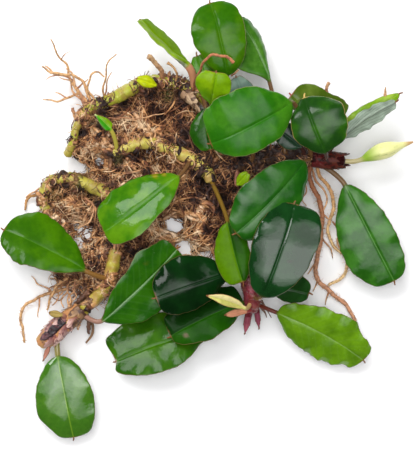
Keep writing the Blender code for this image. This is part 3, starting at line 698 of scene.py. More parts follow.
# %% Grow the top leaves
TOP_LEAVES = {
    "leaf_top_folded": dict(
        start=(194.5, 88, 8.8), base=(187, 65, 13.5), tip=(140.5, 20, 14.0), half_widths=(4.8, 5.0),
        fullness=(1.3, 3.2), rise=0.6, bend=-1.3, roll=60, cup=(14, 10), waves=3, stalk_radius=1.25,
        spur=0.4,
        green=(104, 136, 0), right_green_and_shade=(92, 126, 0), margin=(160, 164, 130), below=(150, 160, 140),
        stalk=(186, 132, 98), water=0.1, gloss=1.2),
    "leaf_top_large": dict(
        start=(207, 100, 8.8), base=(227, 75, 16.6), tip=(210, 3.5, 15.6),
        left=(2.9, 5.2, 7.0, 8.6, 8.5, 7.1, 4.5), right=(3.2, 6.0, 7.5, 8.5, 8.5, 7.6, 4.4), rise=3.2,
        flat=2.6, bend=0.5, cup=(-8, -8), groove=1.3, wave=0.25, waves=3, ragged=0.1, ruffle=0.04,
        green=(42, 94, 0), bright=(62, 108, 0), rib_share=0.1, gloss=1.3),
    "leaf_top_behind": dict(
        start=(195, 92, 8.8), base=(208, 84, 11.0), tip=(197, 56, 11.5), half_widths=(3.6, 5.2),
        widest=0.6, fullness=(1.6, 2.0), rise=0.6, cup=(-14, -14), wave=0.15,
        green=(56, 108, 6)),
    "leaf_lime_top": dict(
        slot="young_leaf", start=(212, 105, 8.8), base=(211, 103, 20.0), tip=(216, 72, 25.6),
        left=(0.9, 2.6, 4.3, 5.5, 5.9, 5.4, 3.8), right=(0.9, 2.8, 4.7, 5.6, 5.6, 4.9, 3.2), rise=1.5,
        cup=(-8, -10), wave=0.15, ragged=0.22, ruffle=0.3, spur=0.5,
        green=(84, 130, 2), bright=(122, 158, 4), right_green_and_shade=(106, 148, 2), rib=(80, 120, 0),
        rib_share=0.6, water=0.5, roughness=0.5),
    "leaf_grey_back": dict(
        slot="silver_leaf", start=(252, 163, 8.4), base=(252, 118, 13.6), tip=(236, 77, 15.0),
        half_widths=(5.0, 4.6), rise=0.4, cup=(4, 4), wave=0.3, spur=0.5,
        green=(84, 108, 96), bright=(112, 134, 120), water=0.3, roughness=0.6),
    "leaf_top_right": dict(
        start=(286, 157, 10.0), base=(269, 80, 12.5), tip=(238, 19, 11.5),
        left=(1.4, 4.0, 8.4, 8.6, 7.8, 6.0, 3.0), right=(0.8, 1.5, 2.9, 4.0, 4.7, 4.4, 2.9), rise=1.6,
        bend=0.4, roll=16, cup=(6, -46),
        green=(42, 96, 10), bright=(74, 122, 36), rib=(128, 160, 110)),
}
grow(TOP_LEAVES)

# %% [markdown]
# ## Leaves over the right crown
#
# Two large leaves lie over the crown, and round, olive and dark ones crowd behind them. The pair at
# the far right is one lime leaf and, in front of it, a leaf that lies with its silvery back up and
# its wavy margin down, so its `roll` is more than a half turn.

# %% Grow the leaves of the right crown
CROWN_LEAVES = {
    "leaf_upper_large": dict(
        start=(312, 158, 11.0), base=(290.5, 103, 21.0), tip=(211, 143.5, 21.0),
        left=(2.9, 5.5, 7.6, 8.1, 7.8, 5.9, 3.0), right=(4.2, 8.0, 11.4, 12.5, 12.8, 11.6, 9.2), rise=3.6,
        flat=2.6, bend=-0.8, roll=-4, cup=(-6, -8), crinkle=0.12, crinkle_mm=6, wave=0.3, waves=4,
        green=(34, 98, 4), bright=(56, 116, 14), rib_share=0.12, margin=(150, 150, 90), gloss=1.3,
        film=0.2),
    "leaf_upper_below": dict(
        start=(201, 95, 8.8), base=(206, 109, 12.4), tip=(211, 150, 13.4), half_widths=(6.6, 6.2),
        widest=0.55, fullness=(1.7, 2.0), rise=0.8, roll=14, cup=(-4, -4), wave=0.15,
        green=(24, 70, 2), bright=(44, 94, 6)),
    "leaf_right_round": dict(
        start=(323, 159, 11.0), base=(325, 152, 19.4), tip=(304.5, 98, 18.6),
        left=(2.4, 4.6, 6.6, 7.2, 6.6, 4.4, 1.9), right=(6.8, 9.2, 10.5, 10.9, 10.8, 8.3, 3.0), rise=3.4,
        bend=-0.4, roll=-5, cup=(-13, -5), wave=0.3, waves=3, spur=1.8,
        green=(22, 62, 10), bright=(42, 92, 4), rib_share=0.08, margin=(194, 162, 92), stalk=(64, 36, 30),
        spur_colour=(206, 172, 96), gloss=1.42, film=0.18),
    "leaf_right_behind": dict(
        start=(324, 158, 11.2), base=(334, 131, 13.4), tip=(291, 95, 16.0),
        left=(1.6, 3.2, 4.0, 4.2, 3.8, 3.2, 2.0), right=(9.0, 10.2, 9.8, 8.8, 8.4, 7.2, 4.2), rise=0.6,
        roll=14, cup=(-5, -5), wave=0.3, waves=3, spur=0.9,
        green=(66, 90, 14), bright=(90, 112, 36), stalk=(64, 36, 30), spur_colour=(150, 70, 60)),
    "leaf_right_shaded": dict(
        start=(304, 158, 10.2), base=(301, 147, 12.2), tip=(276, 128, 13.0), half_widths=(3.8, 4.6),
        widest=0.55, fullness=(1.6, 1.9), rise=0.4, cup=(-4, -4), wave=0.15,
        # Its dark blue-green is painted shade of the large leaves over it.
        green=(22, 50, 30), stalk=(64, 36, 30)),
    "leaf_right_lime": dict(
        slot="young_leaf", start=(321, 156, 10.4), base=(344, 125, 8.4), tip=(399, 94, 9.8),
        half_widths=(2.9, 3.2), widest=0.44, fullness=(1.6, 1.4), rise=1.0, bend=0.6, roll=-16,
        cup=(6, 10), wave=0.3, waves=3,
        green=(106, 146, 14), bright=(150, 178, 60), stalk=(70, 40, 32), water=0.6),
    "leaf_right_silver": dict(
        slot="silver_leaf", start=(322, 156, 10.4), base=(341, 138.5, 11.2), tip=(395.5, 102, 12.6),
        half_widths=(3.8, 2.8), fullness=(1.5, 1.8), rise=-0.8, bend=1.4, roll=205, cup=(-6, 6), wave=0.5,
        waves=4, ragged=0.3, ruffle=0.3, veins=3, vein_slant=3.6, vein_mm=0.1,
        green=(60, 100, 60), margin=(60, 66, 56), below=(146, 162, 144), back_noise=0.25,
        stalk=(80, 48, 40), water=0.5, roughness=0.45),
    "leaf_centre_right": dict(
        start=(310, 160, 11.4), base=(304, 162, 12.6), tip=(236, 233, 16.4),
        left=(2.6, 5.3, 7.7, 8.8, 8.4, 7.0, 4.4), right=(2.6, 5.8, 8.4, 9.5, 9.8, 7.4, 4.2), rise=2.8,
        flat=2.6, bend=-0.4, roll=-11, cup=(-12, -8), wave=0.35, waves=4,
        green=(18, 78, 4), bright=(36, 94, 14), rib_share=0.12, gloss=1.5, film=0.16),
    "leaf_right": dict(
        start=(317, 162, 9.4), base=(345.5, 186, 8.4), tip=(394, 281, 6.4),
        left=(2.6, 4.8, 6.8, 7.7, 7.5, 6.4, 4.0), right=(2.6, 5.7, 9.0, 10.8, 11.2, 9.2, 5.7), rise=1.3,
        flat=2.6, roll=6, cup=(-3, -3), wave=0.3, waves=4, stalk_radius=0.85,
        green=(30, 84, 8), bright=(54, 112, 26), rib=(96, 148, 66), rib_share=0.4, stalk=(110, 84, 56),
        gloss=1.46, film=0.14),
}
grow(CROWN_LEAVES)

# %% [markdown]
# ## Leaves of the front shoot and of the left side
#
# The front shoot carries the darkest and wettest leaves, which mirror the light in one large patch
# split by the midrib. The left side has light greens and long olive stalks. The lime leaf that
# hangs below the middle has a darker right half, which is painted shade of the leaves over it.

# %% Grow the leaves in front and at the left
FRONT_LEAVES = {
    "leaf_dark_glossy": dict(
        slot="dark_leaf", start=(253, 296, 10.4), base=(262, 296, 16.6), tip=(294, 204, 16.2),
        left=(4.4, 6.8, 8.7, 9.7, 9.4, 7.7, 5.1), right=(3.6, 6.3, 9.0, 10.4, 10.8, 10.0, 6.8), rise=3.4,
        flat=3.0, bend=0.8, cup=(-12, 10), puff=0.015, groove=1.2, wave=0.15, waves=3, ruffle=0.03,
        green=(6, 44, 10), bright=(14, 58, 18), rib_share=0.0, spur_colour=(130, 96, 60),
        marks=((264, 222, 1.2, 0.5), (290, 262, 0.55, 0)), gloss=1.56, film=0.07),
    "leaf_glossy_below": dict(
        slot="dark_leaf", start=(254, 292, 9.2), base=(270, 283, 9.6), tip=(309, 293, 8.2),
        half_widths=(5.4, 4.8), widest=0.6, fullness=(1.7, 2.1), rise=0.6, roll=14, cup=(-4, -4),
        green=(18, 58, 12)),
    "leaf_lime_lower": dict(
        slot="young_leaf", start=(210, 178, 7.8), base=(228, 223, 12.0), tip=(243, 282, 14.4),
        left=(1.4, 3.4, 4.9, 5.2, 4.6, 3.2, 1.2), right=(2.4, 4.1, 5.7, 6.7, 6.6, 5.6, 3.8), rise=0.8,
        bend=0.3, roll=6, cup=(-16, -6),
        # The dark green of one half is painted shade of the leaves that lie over it; the other half is
        # lime.
        green=(24, 64, 0), bright=(38, 84, 2), right_green_and_shade=(76, 116, 0), stalk=(112, 86, 30), water=0.15),
    "leaf_dark_centre": dict(
        slot="dark_leaf", start=(243, 270, 9.4), base=(229, 273, 10.6), tip=(156, 298, 13.2),
        left=(1.9, 4.0, 6.5, 8.0, 8.1, 7.4, 5.3), right=(3.2, 6.2, 8.4, 9.9, 9.9, 7.8, 4.8), rise=1.6,
        bend=0.3, roll=-2, cup=(-6, -5), fold=-0.32, wave=0.3, waves=4, ruffle=0.2,
        green=(2, 30, 4), bright=(6, 44, 8), rib_share=0.2, gloss=1.36, film=0.09),
    "leaf_front_below": dict(
        slot="dark_leaf", start=(248, 298, 8.4), base=(243.5, 302.5, 7.0), tip=(171, 336.5, 6.8),
        left=(2.6, 4.6, 6.5, 8.0, 6.9, 5.4, 3.0), right=(6.2, 7.6, 8.0, 8.4, 8.4, 7.8, 6.2), rise=1.2,
        bend=0.4, roll=24, cup=(3, 0), puff=0.0, wave=0.3, waves=3,
        # The darker right half is painted shadow, cast by the dark leaf that lies over it.
        green=(20, 66, 0), bright=(30, 78, 4), right_green_and_shade=(12, 48, 6), marks=((186, 335, 0.8, 0),),
        mark_colour=(104, 92, 72), gloss=1.1),
    "leaf_bottom": dict(
        start=(247, 306, 6.4), base=(207, 330, 3.8), tip=(116, 361.5, 3.0),
        left=(2.8, 5.3, 8.7, 9.7, 9.0, 6.9, 3.1), right=(3.4, 6.6, 9.6, 10.8, 11.2, 10.2, 7.2), rise=1.2,
        bend=0.3, roll=24, cup=(3, 13), puff=0.0, wave=0.3, waves=4, ruffle=0.12, lobes=(0.0, 2.3),
        spur=1.1,
        green=(36, 84, 0), bright=(56, 102, 2), gloss=1.34),
    "leaf_bottom_right": dict(
        start=(254, 303, 8.4), base=(278, 313, 7.0), tip=(363, 360, 4.0),
        left=(3.5, 5.5, 7.9, 9.0, 9.0, 6.6, 4.9), right=(2.6, 5.7, 8.2, 9.2, 8.6, 6.6, 4.2), rise=2.0,
        flat=2.6, bend=-2.0, roll=22, cup=(-6, -6), groove=0.6, wave=0.5, waves=5, ragged=0.3, ruffle=0.3,
        dents=(
            (-1, 0.78, 0.05, -0.9), (-1, 0.66, 0.05, 0.6), (1, 0.4, 0.06, -0.5), (1, 0.86, 0.05, -0.4),
        ),
        # The pale grey-green midrib is partly the leaf's own and partly a painted highlight of the streak
        # mirrored along it.
        green=(80, 124, 6), bright=(100, 146, 14), rib=(170, 196, 130), rib_share=0.2, stalk=(96, 40, 26)),
}
LEFT_LEAVES = {
    "leaf_left_centre": dict(
        start=(190, 161, 8.8), base=(178, 177, 13.4), tip=(104, 232, 12.4),
        left=(2.0, 4.2, 6.0, 7.4, 8.1, 7.1, 4.8), right=(3.2, 6.1, 8.5, 10.4, 10.8, 9.9, 7.4), rise=1.8,
        flat=2.8, bend=-1.0, roll=22, cup=(-2, -14), wave=0.25, waves=3,
        green=(50, 108, 2), bright=(84, 132, 8), rib_share=0.2,
        marks=((155, 176, 0.9, 0), (164, 174.5, 0.7, 0)), mark_colour=(140, 128, 20), film=0.1),
    "leaf_left": dict(
        start=(108, 279, 8.0), base=(84, 270, 11.0), tip=(4, 230, 8.4),
        left=(1.7, 3.9, 6.2, 7.6, 8.5, 6.6, 3.8), right=(2.2, 5.4, 8.2, 10.1, 11.3, 9.4, 5.2), rise=1.8,
        roll=24, cup=(-7, -7), groove=0.4, wave=0.3, waves=4, stalk_radius=0.85,
        green=(44, 92, 0), bright=(62, 110, 0), stalk=(126, 90, 44), gloss=1.3),
    "leaf_lower_left": dict(
        start=(57, 331, 5.6), base=(58, 357, 5.6), tip=(73.5, 437, 3.2),
        left=(3.6, 6.1, 8.3, 9.2, 8.8, 7.5, 5.3), right=(3.6, 6.3, 8.7, 9.9, 9.4, 6.8, 3.8), rise=2.4,
        flat=2.6, cup=(-5, -5), groove=0.2, wave=0.25, waves=3, stalk_radius=0.95,
        green=(58, 108, 18), bright=(76, 122, 30), rib=(132, 166, 40), rib_share=0.45,
        stalk=(128, 118, 60), gloss=1.8, film=0.08),
    "leaf_lower_centre": dict(
        start=(80, 312, 6.4), base=(103, 320, 8.6), tip=(177, 249, 8.8),
        left=(1.4, 3.8, 6.3, 7.4, 9.0, 7.4, 5.6), right=(3.0, 6.4, 9.8, 10.6, 10.4, 8.6, 5.4), rise=1.6,
        roll=24, cup=(-3, 14), puff=0.0, wave=0.3, waves=4, stalk_radius=0.8,
        # The pale grey-green midrib is partly the leaf's own and partly a painted highlight of the streak
        # mirrored along it.
        green=(26, 82, 0), bright=(42, 98, 2), rib=(150, 190, 130), rib_share=0.5, stalk=(150, 112, 96),
        marks=((147, 263, 0.35, 0),), mark_colour=(150, 120, 30), gloss=1.5),
}
grow(FRONT_LEAVES)
grow(LEFT_LEAVES)

# %% [markdown]
# ## Leaflets and bracts
#
# A growing tip opens from between small scales. They are leaves in little, so the same skin makes
# them, with fewer rings. Some are lime, the ones round the front shoot are pink-brown and
# purple-red, and they are dry, so their film of water is thin.

# %% Grow the small ones
SMALL_LEAVES = {
    "leaflet_centre": dict(
        slot="young_leaf", start=(238, 167, 7.0), base=(238, 184, 9.2), tip=(248, 173, 11.0),
        half_widths=(2.0, 2.2), rise=0.4, cup=(8, 8), wave=0.1, spur=0.6,
        green=(130, 170, 10), stalk=(150, 100, 80), water=0.4),
    "leaflet_folded": dict(
        slot="young_leaf", start=(117, 152, 7.4), base=(110, 129, 13.0), tip=(96, 115.5, 14.0),
        half_widths=(1.7, 1.9), widest=0.2, fullness=(2.2, 1.05), rise=0.6, roll=18, cup=(12, 12),
        wave=0.1, spur=0.5,
        green=(52, 136, 12), right_green_and_shade=(110, 150, 10), stalk=(178, 166, 70), spur_colour=(190, 200, 130),
        water=0.6),
    "bract_top": dict(
        slot="young_leaf", start=(152, 82, 8.4), base=(155, 85, 11.0), tip=(137, 79, 12.6),
        half_widths=(1.9, 2.3), fullness=(1.8, 1.6), rise=1.2, cup=(-14, -14), wave=0.1, spur=0.5,
        green=(164, 176, 6), water=0.4),
    "leaflet_front": dict(
        slot="young_leaf", start=(250, 304, 10.4), base=(244.5, 308, 13.6), tip=(208, 296, 17.0),
        half_widths=(1.6, 1.9), fullness=(1.4, 1.1), rise=1.0, bend=0.4, cup=(16, 16), wave=0.05, spur=0.6,
        # The olive midrib and the darker left half are painted shade in the fold; the pale yellow is the
        # leaflet's own.
        green=(176, 172, 92), right_green_and_shade=(212, 200, 138), rib=(140, 150, 50), margin=(176, 120, 86),
        stalk=(170, 140, 90), water=0.3),
    "bract_front": dict(
        slot="sheath", start=(251, 309, 8.6), base=(245, 311, 10.8), tip=(226, 315, 11.6),
        half_widths=(1.2, 1.2), widest=0.6, fullness=(1.8, 1.3), rise=0.8, cup=(-16, -16), wave=0.05,
        stalk_radius=1.0, spur=0.5,
        green=(176, 118, 88), stalk=(140, 60, 60), water=0.15),
    "bract_front_left": dict(
        slot="sheath", start=(251, 308, 7.6), base=(248, 317, 5.6), tip=(245, 333, 3.4),
        half_widths=(1.2, 1.2), widest=0.15, fullness=(1.9, 1.0), rise=0.6, cup=(-18, -18), wave=0.1,
        stalk_radius=1.2, spur=0.6,
        green=(132, 62, 76), stalk=(100, 30, 40), water=0.4),
    "bract_front_right": dict(
        slot="sheath", start=(255, 304, 7.2), base=(257, 313, 5.4), tip=(259, 328, 3.0),
        half_widths=(0.9, 0.9), widest=0.15, fullness=(1.9, 1.0), rise=0.6, cup=(-18, -18), wave=0.1,
        stalk_radius=1.0, spur=0.6,
        green=(124, 58, 74), stalk=(100, 30, 40), water=0.4),
    "bract_lower_top": dict(
        slot="sheath", start=(66, 320, 7.0), base=(62, 315, 9.6), tip=(50, 313, 9.0),
        half_widths=(1.2, 1.2), widest=0.6, fullness=(1.9, 1.3), rise=0.4, cup=(-10, -10), wave=0.1,
        spur=0.4,
        green=(138, 118, 62), stalk=(160, 110, 90), water=0.3),
    "bract_lower_tip": dict(
        slot="sheath", start=(48, 337, 4.4), base=(49, 347, 3.2), tip=(43.5, 360, 1.4),
        half_widths=(0.8, 0.8), widest=0.3, fullness=(1.8, 1.1), rise=0.5, cup=(-14, -14), wave=0.1,
        stalk_radius=0.6, spur=0.6,
        green=(176, 118, 100), stalk=(140, 80, 70), water=0.3),
}
grow(SMALL_LEAVES, blade_steps=26, across_steps=16)

# %% [markdown]
# ## Creeping stems
#
# The rhizome is 4 mm thick and grows a ring-shaped scar wherever a leaf once stood. Between the
# scars it swells. Young stretches are yellow-green and old ones ochre and brown; the lowest stem
# has longer stretches with a pinkish joint, and the one at the right crown is dark and dull. A
# bevelled curve gives a smooth hose, so the stem is a pipe of its own whose radius is worked out
# point by point: the swell, a raised rim at each scar, and lumps.

# %% Stem stations, as pixel, pixel, height and radius
STEMS = {
    "rhizome_top": (
        (66.5, 156.5, 3.4, 1.45), (70.5, 148, 5.0, 1.35), (73.5, 139, 6.2, 1.25),
        (76.5, 127, 7.0, 1.25), (83, 115, 7.4, 1.5), (92, 106, 7.6, 1.9), (105, 102, 7.6, 1.9),
        (118, 96, 7.6, 2.1), (131, 89, 7.6, 2.1), (145, 83, 7.6, 2.1), (160, 81, 7.4, 2.0),
        (176, 83, 7.4, 2.1), (189, 88, 7.6, 2.1), (201, 96, 7.8, 2.0), (213, 106, 7.8, 1.8),
    ),
    "rhizome_middle": (
        (112, 155, 6.6, 1.6), (126, 148, 7.4, 1.9), (141, 143, 7.8, 2.0), (158, 145, 7.8, 1.9),
        (174, 151, 7.8, 2.0), (191, 159, 7.8, 2.1), (205, 170, 7.6, 2.1), (213, 183, 7.2, 1.8),
    ),
    "rhizome_left": (
        (46, 212, 4.0, 1.6), (43, 197, 4.6, 1.8), (51, 182, 6.0, 1.9), (68, 178, 7.2, 1.9),
        (86, 184, 7.6, 2.0), (104, 192, 7.6, 2.0), (121, 201, 7.0, 1.8),
    ),
    "rhizome_lower": (
        (118, 236, 6.6, 1.7), (116, 250, 7.2, 1.9), (113, 264, 7.4, 2.1), (110, 277, 7.2, 2.1),
        (103, 290, 6.8, 2.0), (93, 301, 6.4, 2.0), (80, 312, 6.0, 1.9),
    ),
    "rhizome_right": (
        (234, 168, 6.2, 1.8), (251, 163, 7.0, 2.0), (270, 159, 7.8, 2.1), (289, 157, 8.6, 2.1),
        (305, 158, 9.2, 2.0), (316, 159, 9.4, 1.8),
    ),
    "shoot_front": (
        (226, 244, 6.4, 1.5), (233, 252, 7.0, 1.9), (240, 262, 8.2, 2.1), (247, 276, 9.0, 2.5),
        (252, 291, 9.2, 2.9), (253, 303, 8.6, 2.5), (252, 313, 7.4, 1.5),
    ),
}
SHEATHS = {
    "sheath_lower": (
        (84, 308, 6.2, 2.7), (74, 315, 6.0, 2.9), (64, 323, 5.8, 3.2), (54, 333, 5.4, 3.2),
        (45, 340, 4.8, 2.6), (38, 345, 4.2, 1.5),
    ),
    "sheath_right": (
        (309, 158, 9.3, 2.6), (320, 159, 9.6, 2.8), (333, 160, 9.6, 2.6), (346, 161, 9.2, 1.9),
    ),
}
print(len(STEMS), "stems and", len(SHEATHS), "sheaths")


# %% The stem's skin
SCAR_SPACING_MM = 3.4
SCAR_RIM = 0.10
STEM_RING_MM = 0.22
STEM_SIDES = 28


def stem_skin(name, stations, finish, seed, lumps=0.07, rim=SCAR_RIM, spacing=SCAR_SPACING_MM,
              first_scar=0.0):
    """A ringed, lumpy stem; its traits are the place between two scars and how high on its side."""
    path = smooth_path(stations_mm(stations), 10)
    length = run_along(path)[-1]
    steps = int(length / STEM_RING_MM)
    even = np.linspace(0, length, steps)
    path = at_distances(path, even)
    centre, radius = path[:, :3], path[:, 3]
    rings = pipe_rings(centre, radius, STEM_SIDES)
    tilt = 0.5 * ripples(rings, 7.0, seed)
    between = (even[:, None] + tilt - first_scar) / spacing % 1.0
    bulge = 0.05 * np.sin(math.pi * between) + rim * np.exp(-((between - 0.08) / 0.05) ** 2)
    bulge = bulge - 0.08 * np.exp(-((between - 0.97) / 0.04) ** 2)
    bulge = bulge + lumps * ripples(rings, 2.6, seed + 1)
    ends = ease(even, 0, radius[0] * 0.6) * ease(length - even, 0, radius[-1] * 0.6)
    radii = radius[:, None] * (1 + bulge) * (0.25 + 0.75 * ends[:, None])
    rings = pipe_rings(centre, radii, STEM_SIDES)
    height = (rings[..., 2] - centre[:, None, 2]) / radius[:, None]
    traits = {"between": between, "top_side": height}
    return mesh_piece(name, rings, ring_faces(steps, STEM_SIDES), finish, traits)


# %% The stem's finish
def stem_finish(name, young, old, bark, bark_from=0.5, joint=None, water=0.5, shine=0.5):
    """Young colour with old patches, dark scar lines, and bark by noise and on the lower side."""
    made = Finish(name, roughness=0.42, water=water, water_roughness=0.12, shine=shine)
    colour = made.mix(made.band(made.noise(3.2, 4.0), 0.42, 0.62), young, old)
    if joint:
        colour = made.mix(made.band(made.trait("between"), 0.55, 0.9, 0.0, 0.85), colour, joint)
    scar = made.band(made.trait("between"), 0.0, 0.05 if joint else 0.12, 0.75, 0.0)
    colour = made.mix(scar, colour, bark)
    grain = made.band(made.noise(0.35, 5.0), 0.35, 0.65, 0.0, 0.22)
    colour = made.mix(grain, colour, shaded(old, 0.6))
    low_side = made.math("MULTIPLY", made.trait("top_side"), 0.1)
    lift = made.math("SUBTRACT", made.noise(2.0, 6.0), low_side)
    colour = made.mix(made.band(lift, bark_from, bark_from + 0.06, 0.0, 0.9), colour, bark)
    streak = made.band(made.noise(0.5, 4.0), 0.45, 0.7, 0.0, 0.3)
    colour = made.mix(streak, colour, old)
    return made.done(colour, made.bump(made.noise(0.45, 6.0), 0.12))


# %% Grow the stems and their sheaths: young, old and bark colour, and where bark begins
STEM_COLOURS = {
    "rhizome_top": ((170, 176, 48), (166, 148, 60), (84, 54, 44), 0.68),
    "rhizome_middle": ((192, 180, 76), (180, 148, 82), (84, 54, 50), 0.74),
    "rhizome_left": ((182, 172, 66), (160, 140, 66), (80, 62, 40), 0.64),
    "rhizome_lower": ((170, 160, 50), (166, 136, 58), (96, 58, 40), 0.8),
    "rhizome_right": ((88, 64, 42), (72, 50, 36), (42, 26, 22), 0.42),
    "shoot_front": ((112, 26, 34), (126, 62, 54), (60, 30, 26), 0.56),
}
SHEATH_COLOURS = {
    "sheath_lower": ((186, 128, 84), (196, 160, 104), (110, 62, 52), 0.6),
    "sheath_right": ((60, 12, 14), (42, 8, 10), (84, 40, 28), 0.6),
}
OWN_FINISH = {
    "rhizome_right": dict(water=0.1, shine=0.1),
    "rhizome_lower": dict(joint=(214, 148, 102)),
}
OWN_SCARS = {"rhizome_lower": dict(spacing=10.6, first_scar=5.0)}
for number, (name, stations) in enumerate(STEMS.items()):
    finish = stem_finish(name + "_bark", *STEM_COLOURS[name], **OWN_FINISH.get(name, {}))
    stem = stem_skin(name + "_stem", stations, finish, number, **OWN_SCARS.get(name, {}))
    belongs(stem, "sheath" if name == "shoot_front" else "rhizome", name)
for number, (name, stations) in enumerate(SHEATHS.items()):
    finish = stem_finish(name + "_core_finish", *SHEATH_COLOURS[name], water=0.05, shine=0.1)
    husk = stem_skin(name + "_core", stations, finish, 40 + number, lumps=0.04, rim=0.0)
    belongs(husk, "sheath", name)
print(len(STEMS) + len(SHEATHS), "stems and sheaths")

# %% [markdown]
# ## Scales round the growing tips
#
# A growing tip is wrapped in thin scales, the dry sheaths of leaves that have opened. Each one hugs
# the stem at its foot and stands off a little at its frayed end. A scale is a strip of pipe wall: its
# rings are arcs instead of full circles, narrower towards the end, with an outer and an inner side.
# The torn dark sheath at the right crown, the layers of the lower left tip, the crimson shoot in
# front and the hollow grey ring at the top are all made of them. Each scale has a shade of its own,
# and streaks run along it.

# %% The skin of a set of scales
SCALE_STEPS = 16
SCALE_SIDES = 8
SCALE_THICKNESS_MM = 0.16
ON_TABLE_MM = 0.05


def scales(name, stations, finish, seed, count, length, wrap, stand_off, first, last, turn=None):
    """Scales round a stem, from its first to its last share. wrap is a half angle in degrees."""
    dice = np.random.default_rng(seed)
    path = smooth_path(stations_mm(stations), 12)
    run_end = run_along(path)[-1]
    onward = unit(path[-1, :3] - path[-4, :3])
    along = np.linspace(0, 1, SCALE_STEPS)
    rings = []
    for number in range(count):
        start = run_end * (first + (last - first) * number / max(1, count - 1))
        places = start + along * dice.uniform(*length)
        spot = at_distances(path, places)
        spot[:, :3] += np.maximum(places - run_end, 0)[:, None] * onward
        _, right, below = across_path(spot[:, :3])
        middle = dice.uniform(0, 2 * math.pi) if turn is None else math.radians(turn)
        fray = 1 + 0.12 * dice.normal(size=SCALE_STEPS) * along
        half_angle = math.radians(wrap) * (1 - 0.9 * along ** 2.2) * fray
        angle = middle + half_angle[:, None] * np.linspace(-1, 1, SCALE_SIDES)
        outer = spot[:, 3] * 1.05 + 0.05 * number / count + stand_off * along ** 2.5
        outer = outer + 0.04 * dice.normal(size=SCALE_STEPS)
        sides = []
        for radius, turns in ((outer, angle), (outer - SCALE_THICKNESS_MM, angle[:, ::-1])):
            turns, rightward = turns[..., None], right[:, None]
            spokes = rightward * np.cos(turns) + below[:, None] * np.sin(turns)
            sides.append(spot[:, None, :3] + spokes * radius[:, None, None])
        rings.append(np.concatenate(sides, axis=1))
    rings = np.array(rings)
    rings[..., 2] = np.maximum(rings[..., 2], ON_TABLE_MM)
    traits = {
        "along": along[:, None],
        "shade": dice.uniform(0, 1, (count, 1, 1)),
        "streak": dice.uniform(0, 1, (count, 1, 2 * SCALE_SIDES)),
    }
    faces = ring_faces(SCALE_STEPS, 2 * SCALE_SIDES, count)
    return belongs(mesh_piece(name, rings, faces, finish, traits), "sheath")


def scale_finish(name, foot, end, dark, dark_from=0.55, water=0.4, shine=0.5):
    """Colour runs from foot to end; some scales are darker, and all have streaks and dark patches."""
    made = Finish(name, roughness=0.5, water=water, water_roughness=0.15, shine=shine)
    colour = made.mix(made.band(made.trait("along"), 0.1, 0.9), foot, end)
    colour = made.mix(made.band(made.trait("streak"), 0.3, 0.9, 0.0, 0.55), colour, foot)
    colour = made.mix(made.band(made.trait("shade"), 0.6, 0.95, 0.0, 0.6), colour, dark)
    spots = made.band(made.noise(1.6, 6.0), dark_from, dark_from + 0.08, 0.0, 0.85)
    colour = made.mix(spots, colour, dark)
    return made.done(colour, made.bump(made.noise(0.5, 5.0), 0.1))


# %% Wrap the tips
dark_red = scale_finish("torn_sheath", (92, 20, 20), (92, 42, 26), (40, 14, 12), 0.5, 0.15, 0.2)
olive_brown = scale_finish("olive_brown_sheath", (118, 84, 54), (178, 136, 92), (66, 36, 32), 0.48, 0.5)
pink = scale_finish("pink_sheath", (158, 98, 82), (234, 196, 184), (104, 52, 58), 0.5, 0.6)
# The purple heart scales are the sheath's own purple, made darker as painted shade of its open hollow.
purple = scale_finish("purple_heart", (52, 24, 40), (112, 62, 66), (24, 10, 20), 0.45, 0.9)
orange_brown = scale_finish(
    "orange_brown_sheath", (168, 104, 72), (214, 176, 116), (120, 72, 54), 0.56, 0.5)
crimson = scale_finish("crimson_sheath", (104, 22, 34), (132, 44, 60), (56, 14, 20), 0.55)
husk_grey = scale_finish("hollow_husk", (146, 114, 86), (196, 168, 134), (74, 50, 40), 0.54, 0.1)
HOLLOW_HUSK = ((184, 92, 8.4, 2.0), (191, 97, 9.2, 2.2), (198, 101, 9.8, 2.3), (203, 105, 10.0, 2.3))
right_tip, lower_tip = SHEATHS["sheath_right"], SHEATHS["sheath_lower"]
lower_stem, front_tip = STEMS["rhizome_lower"][4:], STEMS["shoot_front"][2:]
scales("sheath_right_scales", right_tip, dark_red, 51, 26, (4.0, 8.0), 34, 0.6, 0.0, 0.62)
scales("sheath_lower_top", lower_tip, olive_brown, 57, 12, (2.6, 5.2), 34, 0.6, 0.0, 0.2)
scales("rhizome_lower_collar", lower_stem, olive_brown, 58, 7, (2.0, 3.6), 44, 0.3, 0.4, 0.85)
scales("sheath_lower_scales", lower_tip, pink, 52, 19, (3.4, 6.6), 32, 0.7, 0.14, 0.62)
scales("sheath_lower_heart", lower_tip, purple, 53, 15, (2.0, 4.0), 27, 0.9, 0.36, 0.72, turn=-74)
scales("sheath_lower_end", lower_tip, orange_brown, 56, 9, (2.6, 4.2), 46, 0.2, 0.62, 0.8)
scales("shoot_front_scales", front_tip, crimson, 54, 9, (4.0, 7.0), 50, 0.4, 0.0, 0.7)
scales("hollow_husk_scales", HOLLOW_HUSK, husk_grey, 55, 8, (3.0, 5.5), 48, 0.5, 0.0, 0.6)
print("scales at four tips")
